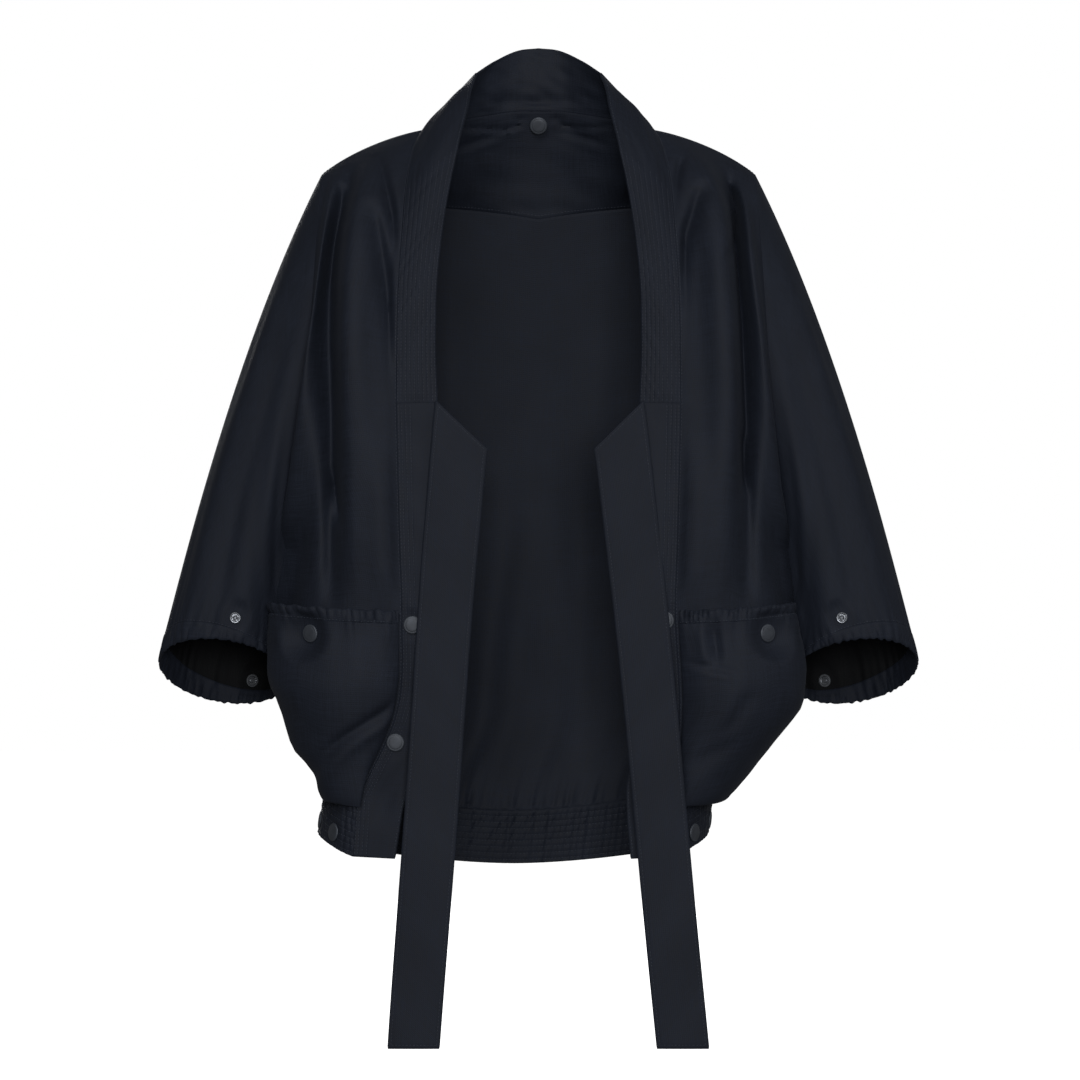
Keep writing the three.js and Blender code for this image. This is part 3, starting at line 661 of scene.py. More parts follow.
def yoke_half(side):
    own = SEAMS[side]
    top = chain(own["neck"], own["shoulder"])
    rows = 3 * FINE
    share = np.linspace(0, 1, rows + 1)[:, None]
    grid = strip(top, own["yoke"], rows)
    outer = armhole(side, 0, -YOKE_TURN, rows)
    fade = np.linspace(0, 1, top.shape[0])[None, :]
    grid[:, :, 1] += np.sin(math.pi * share) * 3 * (1 - 0.6 * fade)
    grid += (outer - grid[:, -1])[:, None] * ramp(fade, 0.6, 1)[:, :, None]
    return grid


def sleeve_grid(side, rows):
    """Rings of a sleeve from the armhole to the cuff, each from the shoulder round the front."""
    turn = np.linspace(0, 2 * math.pi, 2 * ARM_STEPS * FINE, endpoint=False)
    down = (1 - np.cos(turn)) / 2

    def ring(outer, inner, depth, tilt):
        x = mix(outer[0], inner[0], down)
        z = -mix(outer[1], inner[1], down) + tilt * np.sin(turn)
        return np.stack([side * x + lean(z), -depth * np.sin(turn), z], 1)

    start = ring((SHOULDER_HALF + ARMHOLE_EASE[0], SHOULDER_DROP),
                 (UNDERARM_HALF + ARMHOLE_EASE[1], UNDERARM_DROP), ARMHOLE_DEPTH, 0)
    middle = ring((mix(SHOULDER_HALF, CUFF_OUT, 0.54), 218),
                  (mix(UNDERARM_HALF, CUFF_IN, 0.8), mix(UNDERARM_DROP, CUFF_DROP, 0.55)),
                  ARMHOLE_DEPTH + 2, 6)
    end = ring((CUFF_OUT, CUFF_DROP - 7), (CUFF_IN, CUFF_DROP + 7), CUFF_DEPTH, CUFF_TILT)
    t = np.linspace(0, 1, rows + 1)[:, None, None]
    return start * (1 - t)**2 + 2 * middle * (1 - t) * t + end * t**2, turn


def sleeve_drape(grid, facing, turn, side, share):
    """Long soft folds from the shoulder to the cuff, dying out at the armhole."""
    rows = grid.shape[0]
    v = np.linspace(0, 1, rows)[:, None]
    u = turn[None, :] / math.pi
    height = np.zeros(grid.shape[:2])
    folds = ((0.22, 0.30, 0.07, 5.0), (0.36, 0.46, 0.05, -4.0), (0.52, 0.60, 0.07, 3.5),
             (0.72, 0.74, 0.06, -4.0), (1.24, 1.26, 0.06, -4.0), (1.40, 1.44, 0.08, 5.0),
             (1.58, 1.60, 0.05, -4.0), (1.76, 1.74, 0.06, 3.5))
    for start, end, wide, high in folds:
        height += high * bump(u - mix(start, end, v) - 0.015 * side, wide)
    free = ramp(v, 0.03, 0.45) * (1 - 0.45 * ramp(v, 0.8, 1))
    over, down = lengths(grid)
    soft = crumple(over, down, 31 + side, 90, 300) * 0.8 * ramp(np.sin(turn / 2)[None, :], 0, 0.3)
    return grid + facing * ((0.7 * height + soft) * free * share)[:, :, None]


# ---------------------------------------------------------------- snaps hold the cloth flat
def snap_points(name):
    """The separate points of a snap part's solid, in millimetres."""
    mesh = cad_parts[name].data
    points = np.empty(len(mesh.vertices) * 3, np.float32)
    mesh.vertices.foreach_get("co", points)
    return np.unique(np.round(points.reshape(-1, 3).astype(float) / MM, 4), axis=0)


def snap_place(name):
    """Middle, direction and height span of a snap part, read from its own solid."""
    points = snap_points(name)
    middle = points.mean(axis=0)
    axis = np.linalg.svd(points - middle)[2][2]
    away = middle * (1, 1, 0)
    if name.startswith("neck"):
        away = np.array([0, -1, -0.3])
    elif "sleeve" in name:
        away = middle * (0, 1, 0)
    if axis @ away < 0:
        axis = -axis
    along = (points - middle) @ axis
    return middle, axis, along.min(), along.max()


SNAP_GAP = 0.3


def under_snap(name, half, puff=0.0):
    """The middle of the cloth below a snap cap, for a cloth's half thickness, and the direction."""
    cap, axis, low, high = snap_place(name)
    return cap + axis * (low - SNAP_GAP - half - puff), axis


def settle(grid, facing, place, reach):
    """Lays the cloth flat under a snap, through a place and square to its direction."""
    middle, axis = place
    off = grid - middle
    high = off @ axis
    flat = np.linalg.norm(off - high[..., None] * axis, axis=2)
    near = (1 - ramp(flat, 9, 9 + reach)) * (np.abs(high) < 25) * ((facing @ axis) > 0.3)
    return grid - axis * (high * near)[..., None]


def crease_height(x, z, lines):
    """Heights of short creases, each (x, z, x, z, width, height), soft at both ends."""
    height = np.zeros_like(x)
    for x0, z0, x1, z1, wide, high in lines:
        along = np.array([x1 - x0, z1 - z0], float)
        far = np.hypot(*along)
        along /= far
        t = (x - x0) * along[0] + (z - z0) * along[1]
        off = (x - x0) * along[1] - (z - z0) * along[0]
        soft = ramp(t, -0.3 * far, 0.25 * far) * (1 - ramp(t, 0.75 * far, 1.3 * far))
        height += high * soft * (bump(off, wide) - 0.5 * bump(off - 1.7 * wide, wide))
    return height


# ---------------------------------------------------------------- finishes
def linear(hex_colour):
    """sRGB hex to linear light."""
    parts = [int(hex_colour.lstrip("#")[k:k + 2], 16) / 255 for k in (0, 2, 4)]
    return tuple(c / 12.92 if c <= 0.04045 else ((c + 0.055) / 1.055) ** 2.4 for c in parts) + (1.0,)


def scaled(colour, factor):
    return tuple(min(c * factor, 1) for c in colour[:3]) + (1.0,)


def node(tree, kind, links=(), **settings):
    """Adds a node with its settings; links are (from socket, name of the input)."""
    made = tree.nodes.new(kind)
    for key, value in settings.items():
        if hasattr(made, key):
            setattr(made, key, value)
        else:
            made.inputs[key.replace("_", " ")].default_value = value
    for source, target in links:
        tree.links.new(source, made.inputs[target])
    return made


def blank_material(name):
    material = bpy.data.materials.get(name) or bpy.data.materials.new(name)
    material.use_nodes = True
    material.node_tree.nodes.clear()
    return material, material.node_tree


THREAD_SPACE = 1.9  # mm; the real 0.3 mm threads are too fine to show, so they are drawn coarser
SLUB_LONG = 34  # mm
SLUB_WIDE = 1.6  # mm


def woven_polyester(name, hex_colour, sheen, roughness):
    """Lined polyester plain weave with slubs: matt, nearly black, a soft cool sheen on folds."""
    material, tree = blank_material(name)
    colour = linear(hex_colour)
    grain = node(tree, "ShaderNodeUVMap", uv_map="grain").outputs["UV"]
    per_metre = 1 / (THREAD_SPACE * MM)
    wave_scale = 2 * math.pi * per_metre / 20  # a wave texture repeats every 2 pi / (20 x scale)
    warp, weft = (node(tree, "ShaderNodeTexWave", [(grain, "Vector")], bands_direction=way,
                       Scale=wave_scale, Distortion=0.6, Detail=1.0) for way in "XY")
    slubs = []
    for wide, long in ((SLUB_WIDE, SLUB_LONG), (SLUB_LONG, SLUB_WIDE)):
        along = node(tree, "ShaderNodeVectorMath", [(grain, 0)], operation="MULTIPLY")
        along.inputs[1].default_value = (1 / (wide * MM), 1 / (long * MM), 1)
        slubs.append(node(tree, "ShaderNodeTexNoise", [(along.outputs[0], "Vector")], Scale=1.0,
                          Detail=2.0))
    cloud = node(tree, "ShaderNodeTexNoise", [(grain, "Vector")], Scale=1 / (60 * MM), Detail=2.0)
    threads = node(tree, "ShaderNodeMath", [(warp.outputs["Fac"], 0), (weft.outputs["Fac"], 1)],
                   operation="MULTIPLY")
    both = node(tree, "ShaderNodeMath",
                [(slubs[0].outputs["Fac"], 0), (slubs[1].outputs["Fac"], 1)], operation="ADD")
    drawn = node(tree, "ShaderNodeMath", [(threads.outputs[0], 0), (both.outputs[0], 1)],
                 operation="ADD")
    tone = node(tree, "ShaderNodeMapRange", [(both.outputs[0], "Value")],
                From_Min=0.6, From_Max=1.4, To_Min=0.72, To_Max=1.34)
    soft = node(tree, "ShaderNodeMapRange", [(cloud.outputs["Fac"], "Value")],
                From_Min=0.3, From_Max=0.7, To_Min=0.9, To_Max=1.12)
    shade = node(tree, "ShaderNodeMath", [(tone.outputs[0], 0), (soft.outputs[0], 1)],
                 operation="MULTIPLY")
    tinted = node(tree, "ShaderNodeVectorMath", [(shade.outputs[0], 0)], operation="MULTIPLY")
    tinted.inputs[1].default_value = colour[:3]
    bumps = node(tree, "ShaderNodeBump", [(drawn.outputs[0], "Height")], Strength=0.35,
                 Distance=0.25 * MM)
    rough = node(tree, "ShaderNodeMapRange", [(both.outputs[0], "Value")],
                 From_Min=0.6, From_Max=1.4, To_Min=roughness - 0.06, To_Max=roughness + 0.08)
    shader = node(tree, "ShaderNodeBsdfPrincipled",
                  [(tinted.outputs[0], "Base Color"), (rough.outputs[0], "Roughness"),
                   (bumps.outputs[0], "Normal")], Specular_IOR_Level=0.15, Sheen_Weight=sheen,
                  Sheen_Roughness=0.45, Sheen_Tint=linear("#aab4cc"))
    node(tree, "ShaderNodeOutputMaterial", [(shader.outputs[0], "Surface")])
    return material


def spun_thread(name, hex_colour):
    """Spun polyester sewing thread: a tone lighter than the cloth, a little glossy from its ply."""
    material, tree = blank_material(name)
    place = node(tree, "ShaderNodeTexCoord").outputs["Object"]
    ply = node(tree, "ShaderNodeTexNoise", [(place, "Vector")], Scale=1 / (0.8 * MM), Detail=1.0)
    tone = node(tree, "ShaderNodeMapRange", [(ply.outputs["Fac"], "Value")],
                From_Min=0.3, From_Max=0.7, To_Min=0.8, To_Max=1.2)
    tinted = node(tree, "ShaderNodeVectorMath", [(tone.outputs[0], 0)], operation="MULTIPLY")
    tinted.inputs[1].default_value = linear(hex_colour)[:3]
    shader = node(tree, "ShaderNodeBsdfPrincipled", [(tinted.outputs[0], "Base Color")],
                  Roughness=0.55, Specular_IOR_Level=0.35)
    node(tree, "ShaderNodeOutputMaterial", [(shader.outputs[0], "Surface")])
    return material


def painted_brass(name, hex_colour, metallic, roughness):
    """Pressed brass with a baked satin paint: dark, a broad soft highlight and rubbed edges."""
    material, tree = blank_material(name)
    colour = linear(hex_colour)
    place = node(tree, "ShaderNodeTexCoord").outputs["Object"]
    fine = node(tree, "ShaderNodeTexNoise", [(place, "Vector")], Scale=1 / (0.6 * MM), Detail=3.0)
    patches = node(tree, "ShaderNodeTexNoise", [(place, "Vector")], Scale=1 / (7 * MM), Detail=2.0)
    edge = node(tree, "ShaderNodeNewGeometry").outputs["Pointiness"]
    rubbed = node(tree, "ShaderNodeMapRange", [(edge, "Value")],
                  From_Min=0.52, From_Max=0.62, To_Min=0.0, To_Max=0.6)
    tone = node(tree, "ShaderNodeMapRange", [(patches.outputs["Fac"], "Value")],
                From_Min=0.3, From_Max=0.7, To_Min=0.86, To_Max=1.14)
    tinted = node(tree, "ShaderNodeVectorMath", [(tone.outputs[0], 0)], operation="MULTIPLY")
    tinted.inputs[1].default_value = colour[:3]
    worn = node(tree, "ShaderNodeMix", [(rubbed.outputs[0], "Factor"), (tinted.outputs[0], 6)],
                data_type="RGBA")
    worn.inputs[7].default_value = scaled(colour, 2.6)
    rough = node(tree, "ShaderNodeMapRange", [(fine.outputs["Fac"], "Value")],
                 From_Min=0.3, From_Max=0.7, To_Min=roughness - 0.05, To_Max=roughness + 0.07)
    grit = node(tree, "ShaderNodeBump", [(fine.outputs["Fac"], "Height")], Strength=0.15,
                Distance=0.05 * MM)
    shader = node(tree, "ShaderNodeBsdfPrincipled",
                  [(worn.outputs[2], "Base Color"), (rough.outputs[0], "Roughness"),
                   (grit.outputs[0], "Normal")], Metallic=metallic)
    node(tree, "ShaderNodeOutputMaterial", [(shader.outputs[0], "Surface")])
    return material


def finish_of(kind):
    """The finishes, made once, from the colours in the panel."""
    colours = bpy.context.scene.cape_jacket_colours
    makers = {
        "shell": lambda: woven_polyester("woven polyester shell", colours.shell, 0.02, 0.70),
        "band": lambda: woven_polyester("woven polyester bands", colours.band, 0.02, 0.68),
        # lining: the much darker sleeve-inside colour, painted shade.
        "lining": lambda: woven_polyester("matt black lining", colours.lining, 0.0, 0.8),
        "thread": lambda: spun_thread("spun polyester thread", colours.thread),
        "cap": lambda: painted_brass("painted brass caps", colours.cap, 0.45, 0.55),
        "ring": lambda: painted_brass("nickelled brass rings", colours.ring, 0.85, 0.34),
    }
    if kind not in FINISHES:
        FINISHES[kind] = makers[kind]()
    return FINISHES[kind]


FINISHES = {}


# ---------------------------------------------------------------- the back
YOKE_CREASES = (
    (-71, -8, -33, -8, 2.4, -2.2), (-33, -8, -12, -3, 2.2, -2.4), (16, -2, 34, -7, 2.2, -2.4),
    (34, -7, 66, -6, 2.4, -2.0), (-76, -27, -42, -14, 3.4, -2.0), (22, -9, 62, -22, 3.4, -2.0),
    (-17, 2, 17, 2, 2.4, -4.2),
)


# Of each fold of the back: its place from the middle, its width and its height.
BACK_FOLDS = ((-128, 17, -5), (-84, 20, 4), (38, 16, -3.5), (86, 20, 4.5), (136, 17, -5),
              (-172, 16, 4), (178, 16, 4))


def back_drape(grid, share):
    """Flutes of the back below the yoke, and gathers above the hem band."""
    x, drop = grid[:, :, 0] - lean(grid[:, :, 2]), -grid[:, :, 2]
    over, down = lengths(grid)
    below, above = down, down[-1:] - down
    side_free = ramp(over, 0, 40) * ramp(over[:, -1:] - over, 0, 40)
    centre = np.interp(drop, (YOKE_DROP, 390, 500, 610, 700), (-2, -6, -18, -31, -34))
    height = (3.5 * bump(x - centre, 24) - 3.5 * bump(x - centre + 26, 16)) * ramp(drop, 200, 480)
    flare = 1 + 0.08 * ramp(drop, 100, 600)
    for place, wide, high in BACK_FOLDS:
        height += high * bump(x - place * flare, wide) * ramp(drop, 110, 420)
    height += crumple(x, drop, 5, 70, 260) * 1.0 * ramp(drop, 100, 260)
    gathers = ripple(x / 9, 3) * 1.3 * np.exp(-above / 13) * ramp(above, 0, 4)
    gathers += ripple(x / 27, 4) * 0.9 * np.exp(-above / 34) * ramp(above, 0, 8)
    edge_free = ramp(below, 0, 30) * side_free
    grid = grid.copy()
    grid[:, :, 1] += height * edge_free * ramp(above, 0, 60) * share + gathers * side_free
    return grid


def facing_from(grid, middle, closed=False):
    return directions(grid, grid - np.array(middle, float), closed)


class JACKET_OT_back(bpy.types.Operator):
    """Yoke, back panel, standing collar and hem band across the back."""

    bl_idname = "cape_jacket.back"
    bl_label = "Back"

    def execute(self, context):
        sizes = context.scene.cape_jacket_sizes
        cloth, doubled = sizes.cloth / MM, sizes.doubled / MM
        inward = (0, -40, -60)
        self.yoke(cloth, inward)

        base = soften(across(back_half))
        grid = back_drape(base, sizes.fold_share)
        sew_panel("back_panel", grid, facing_from(grid, inward), cloth, "shell")

        own = {side: seams(side, 16) for side in SIDES.values()}

        def between(upper, lower, rows):
            return strip(*(across(lambda side: own[side][seam]) for seam in (upper, lower)), rows)

        self.collar(between("collar", "neck", 40), doubled)
        self.hem_band(between("back_hem", "back_hem_edge", 60), doubled)
        return {"FINISHED"}

    def yoke(self, cloth, inward):
        base = across(yoke_half)
        face = facing_from(base, inward)
        lift = crease_height(base[:, :, 0], base[:, :, 2], YOKE_CREASES)
        over, down = lengths(base)
        free = ramp(down, 0, 4) * ramp(down[-1:] - down, 0, 10) * ramp(over, 0, 20)
        free *= ramp(over[:, -1:] - over, 0, 20)
        lift = lift * (base[:, :, 1] > 40) + crumple(base[:, :, 0], base[:, :, 2], 8, 70, 60) * 0.7
        grid = base - face * (lift * free)[:, :, None]
        post, axis, low, high = snap_place("neck_snap_post")
        stud = snap_place("neck_snap_stud")[0]
        grid = settle(grid, -face, ((post + stud) / 2 - axis * 0.7, axis), 12)
        face = facing_from(grid, inward)
        sew_panel("back_yoke", grid, face, cloth, "shell")
        cols = np.linspace(2, grid.shape[1] - 3, 700)
        lift = np.full(grid.shape[:2], cloth / 2)
        lines = [(np.full(cols.shape, grid.shape[0] - 2.2), cols)]
        topstitch("yoke_topstitch_outside", grid, face, lift, lines)
        topstitch("yoke_topstitch_inside", grid, -face, lift, lines)

    def collar(self, base, doubled):
        upward = (0, 0, 30)
        face = facing_from(base, upward)
        v = np.linspace(0, 1, base.shape[0])[:, None]
        x, z = base[:, :, 0], base[:, :, 2]
        lift = -2.4 * np.sin(math.pi * v) + 2.4 * bump(z - NECK_SEAM - 9, 6) * bump(x - 2, 42)
        lift += crumple(x, z, 21, 34, 30) * 0.5 - 1.8 * bump(z - NECK_SEAM - 2.5, 2.2) * bump(x, 26)
        over, down = lengths(base)
        free = ramp(v, 0, 0.12) * ramp(1 - v, 0, 0.12)
        free = free * ramp(np.minimum(over, over[:, -1:] - over), 0, 22)
        grid = base + face * (lift * free)[:, :, None]
        sew_panel("collar_stand", grid, facing_from(grid, upward), doubled, "band")

    def hem_band(self, base, doubled):
        inward = (0, 0, -680)
        grid, puff, lift, rows = stitched_hem(base, facing_from(base, inward), doubled, 44)
        face = facing_from(grid, inward)
        sew_panel("hem_band", grid, face, doubled, "band",
                  puff=puff)
        cols = np.linspace(1, grid.shape[1] - 2, 1200)
        lines = [(np.full(cols.shape, row), cols) for row in rows]
        topstitch("hem_topstitch_outside", grid, face, lift, lines)
        topstitch("hem_topstitch_inside", grid, -face, lift, lines)


HEM_ROWS = 8


def stitched_hem(base, face, doubled, seed):
    """A hem band drawn in by its rows of stitches, with small puckers across them."""
    rows, cols = base.shape[:2]
    over, down = lengths(base)
    share = np.linspace(0, 1, rows)[:, None]
    space = 1 / (HEM_ROWS + 0.5)
    puckers = ripple(over / 9, seed) * 0.55 + ripple(over / 5 + share * 3, seed + 1) * 0.3
    grid = base + face * (puckers * ramp(share, 0, 0.08) * (1 - 0.4 * share))[:, :, None]
    puff = 0.55 * np.abs(np.sin(math.pi * share * (HEM_ROWS + 0.5))) ** 0.6 * np.ones((1, cols))
    return grid, puff, doubled / 2 + puff, [k * space * (rows - 1) for k in range(1, HEM_ROWS + 1)]


# ---------------------------------------------------------------- the fronts
BAND_PUFF = 0.42


class JACKET_OT_fronts(bpy.types.Operator):
    """Both fronts with their neck bands, edge bands and hem bands."""

    bl_idname = "cape_jacket.fronts"
    bl_label = "Fronts and bands"

    def execute(self, context):
        sizes = context.scene.cape_jacket_sizes
        doubled, step = sizes.doubled / MM, sizes.row_space / MM
        for name, side in SIDES.items():
            own = seams(side, 24)
            self.front(name, side, sizes.cloth / MM, sizes.fold_share)
            base = strip(own["band_inner"], own["band_outer"], 54)
            self.neck_band(name, side, base, doubled, step)
            base = strip(own["edge_inner"], chain(own["edge_outer"], own["hem_end"]), 54)
            self.edge_band(name, side, base, doubled, step)
            self.hem(name, side, doubled)
        return {"FINISHED"}

    def front(self, name, side, cloth, share):
        base = front_grid(side)
        grid = front_drape(base, side, share)
        face = facing_from(grid, (side * 60, 40, -350))
        sew_panel(f"{name}_front", grid, face, cloth, "shell")
        cols = np.linspace(1, grid.shape[1] - 2, 260)
        rows = np.linspace(1, grid.shape[0] - 2, 700)
        lines = [(np.full(cols.shape, 1.2), cols), (rows, np.full(rows.shape, 0.9))]
        topstitch(f"{name}_front_topstitch", grid, face, np.full(grid.shape[:2], cloth / 2), lines)

    def neck_band(self, name, side, base, doubled, step):
        base, inward = np.transpose(base, (1, 0, 2)), (0, 0, -200)
        rows, cols = base.shape[:2]
        u, v = np.linspace(0, 1, cols)[None, :], np.linspace(0, 1, rows)[:, None]
        roll = np.sin(math.pi * u) * mix(5, 1.2, v) * ramp(v, 0, 0.07)
        count = int(round(BAND_WIDTH / step))
        over, down = lengths(base)
        sewn = ramp(base[:, :, 2], -30, -75)
        pucker = ripple(down / 17, 50 + side) * 0.12 * sewn
        pucker = pucker * ramp(u, 0, 0.05) * ramp(1 - u, 0, 0.05)
        slack = crumple(over, down, 60 + side, 60, 90) * 0.8 * (1 - sewn) * ramp(v, 0, 0.07)
        slack = slack * ramp(u, 0, 0.15) * ramp(1 - u, 0, 0.15)
        height = (roll + pucker + slack) * ramp(1 - v, 0, 0.03)
        grid = base + facing_from(base, inward) * height[:, :, None]
        face = facing_from(grid, inward)
        wave = np.abs(np.sin(math.pi * u * count)) ** 0.7
        puff = BAND_PUFF * wave * sewn + BAND_PUFF * (1 - sewn)
        sew_panel(f"{name}_neck_band", grid, face, doubled, "band",
                  puff=puff)
        along = np.linspace(int(np.argmax(sewn[:, cols // 2] > 0.5)), rows - 2, 500)
        lines = [(along, np.full(along.shape, k / count * (cols - 1))) for k in range(1, count)]
        for k in (0.25, count - 0.25):
            lines.append((np.linspace(1, rows - 2, 600), np.full(600, k / count * (cols - 1))))
        topstitch(f"{name}_neck_band_topstitch", grid, face, doubled / 2 + puff, lines)

    def edge_band(self, name, side, base, doubled, step):
        base, inward = np.transpose(base, (1, 0, 2)), (0, 0, -200)
        rows, cols = base.shape[:2]
        u, v = np.linspace(0, 1, cols)[None, :], np.linspace(0, 1, rows)[:, None]
        face = facing_from(base, inward)
        over, down = lengths(base)
        wide = over[:, -1:]
        near = wide - over
        wave = np.abs(np.sin(math.pi * near / step)) ** 0.7
        puff = BAND_PUFF * np.where(near < 3.4 * step, wave, 1.0)
        soft = crumple(over, down, 70 + side, 50, 80) * 0.8 * ramp(u, 0, 0.2) * ramp(1 - u, 0, 0.3)
        grid = base + face * (soft * ramp(v, 0, 0.05) * ramp(1 - v, 0, 0.1))[:, :, None]
        for snap in ("upper", "lower"):
            place = under_snap(f"{name}_{snap}_edge_snap_cap", doubled / 2, BAND_PUFF)
            grid = settle(grid, face, place, 10)
        face = facing_from(grid, inward)
        sew_panel(f"{name}_edge_band", grid, face, doubled, "band",
                  puff=puff)
        along, place = np.linspace(1, rows - 2, 700), np.arange(rows)
        cuts = [(1 - k * step / wide[:, 0]) * (cols - 1) for k in (0.3, 1, 2, 3)]
        cuts.append(np.minimum(0.35 * step / wide[:, 0] * (cols - 1), cols - 1))
        lines = [(along, np.interp(along, place, cut)) for cut in cuts]
        topstitch(f"{name}_edge_band_topstitch", grid, face, doubled / 2 + puff, lines)

    def hem(self, name, side, doubled):
        own = seams(side, 16)
        base = strip(own["front_hem"], own["front_hem_edge"], 60)
        inward = (side * 60, 40, -680)
        face = facing_from(base, inward)
        grid, puff, lift, rows = stitched_hem(base, face, doubled, 80 + side)
        for snap in ("front", "side"):
            place = under_snap(f"{name}_{snap}_hem_snap_cap", doubled / 2, 0.4)
            grid = settle(grid, face, place, 8)
        face = facing_from(grid, inward)
        sew_panel(f"{name}_hem_band", grid, face, doubled, "band",
                  puff=puff)
        cols = np.linspace(1, grid.shape[1] - 2, 500)
        lines = [(np.full(cols.shape, row), cols) for row in rows]
        topstitch(f"{name}_hem_topstitch", grid, face, lift, lines)


# ---------------------------------------------------------------- the pockets
POCKET_CREASES = {
    -1: ((-200, -600, -134, -556, 6, -5.5), (-236, -560, -205, -590, 9, -2.5),
         (-150, -620, -128, -604, 6, 2)),
    1: ((161, -474, 167, -512, 6, -6), (142, -516, 182, -524, 4, -1.8),
        (152, -602, 188, -590, 6, -1.8), (198, -546, 178, -580, 7, -2)),
}


POUCH_HANG = 26  # how far the full foot of a pouch hangs over the hem
# How far out the side of each pouch reaches, from the middle of the wearer, at each drop.
SIDE_DROPS = tuple(range(460, 691, 10))
POUCH_SIDE = {
    -1: (255, 255, 255, 256, 256, 256, 256, 255, 253, 248, 245, 241, 237, 232, 224, 210, 198, 190,
         184, 178, 172, 165, 158, 150),
    1: (241, 244, 247, 248, 250, 251, 252, 252, 252, 252, 249, 242, 235, 229, 224, 219, 215, 210,
        205, 200, 190, 178, 166, 154),
}


def pocket_grids(base, face, side):
    """The gathered casing and the pouch below it, standing off the smooth front."""
    rows, cols = base.shape[:2]
    count = 120
    over = np.linspace(0, 1, count + 1)
    place = mix(0.03, 0.86, over)
    columns = sample(base, np.arange(rows)[:, None] + 0 * place[None, :],
                     0 * np.arange(rows)[:, None] + place[None, :] * (cols - 1))
    mouth = POCKET_DROP + 8 * (1 - place)
    foot = 0.985 * (rows - 1)

    def at_drops(drops):
        return np.array([np.interp(drops[k], -columns[:, k, 2], np.arange(rows))
                         for k in range(count + 1)])

    seam = at_drops(mouth + MOUTH_HEM)
    casing = np.array([at_drops(mouth + MOUTH_HEM * s) for s in np.linspace(0, 1, 13)])
    down = np.linspace(0, 1, 131)[:, None]
    pouch = seam[None] * (1 - down) + foot * down
    first = 1 / 7
    made = []
    shares = np.linspace(0, first, 13)[:, None], mix(first, 1, down)
    for spots, share in zip((casing, pouch), shares):
        point = sample(base, spots, 0 * spots + place[None] * (cols - 1))
        out = sample(face, spots, 0 * spots + place[None] * (cols - 1))
        out /= np.linalg.norm(out, axis=2, keepdims=True)
        bag = np.sin(math.pi * over[None]) ** 0.7 * np.sin(math.pi * (0.25 + 0.75 * share)) ** 0.8
        bag = bag * mix(0.45, 1, ramp(share, 0.12, 0.5))
        stand = mix(3.0, POUCH_DEPTH, bag)
        ones = np.ones_like(spots)
        made.append((point + out * stand[:, :, None], share * ones, over[None] * ones))
    return made


def pouch_drape(grid, down, over, side, face, share):
    """Fullness, gathers under the casing and creases of a pouch."""
    x, z = grid[:, :, 0] - lean(grid[:, :, 2]), grid[:, :, 2]
    run, drop = lengths(grid)
    below = -z - POCKET_DROP - MOUTH_HEM
    gather = ripple(run / 8, 90 + side) * 0.6 * np.exp(-np.maximum(below, 0) / 9)
    gather += ripple(run / 24, 92 + side) * 0.7 * np.exp(-np.maximum(below, 0) / 40)
    edges = ramp(over, 0, 0.06) * ramp(1 - over, 0, 0.08) * ramp(1 - down, 0, 0.07)
    height = crease_height(x, z, POCKET_CREASES[side]) * 0.8 * share
    height += crumple(x, z, 95 + side, 110, 110) * 1.0 * share
    grid = grid + face * ((gather + height * ramp(below, 0, 20)) * edges)[:, :, None]
    hang = bump(down - 0.95, 0.13) * ramp(1 - down, 0, 0.06)
    hang = hang * ramp(over, 0, 0.1) * ramp(1 - over, 0, 0.12)
    grid[:, :, 2] -= POUCH_HANG * hang
    inner = ramp(-z, 612, 650) * bump(over - 0.14, 0.14)
    inner = inner * ramp(over, 0, 0.05) * ramp(1 - down, 0, 0.05)
    grid[:, :, 0] -= side * 11 * inner
    return reach_side(grid, over, side, ramp(1 - down, 0, 0.05))


def reach_side(grid, over, side, free):
    """Lets the outer part of a pocket reach as far out as the side of the jacket does."""
    out = side * (grid[:, :, 0] - lean(grid[:, :, 2]))
    drop = -grid[:, :, 2]
    widest = np.array([out[np.abs(drop - level) < 6].max(initial=0) for level in SIDE_DROPS])
    change = np.where(widest > 0, np.array(POUCH_SIDE[side], float) - widest, 0)
    moved = grid.copy()
    moved[:, :, 0] += side * np.interp(drop, SIDE_DROPS, change) * ramp(over, 0.3, 0.9) * free
    return moved


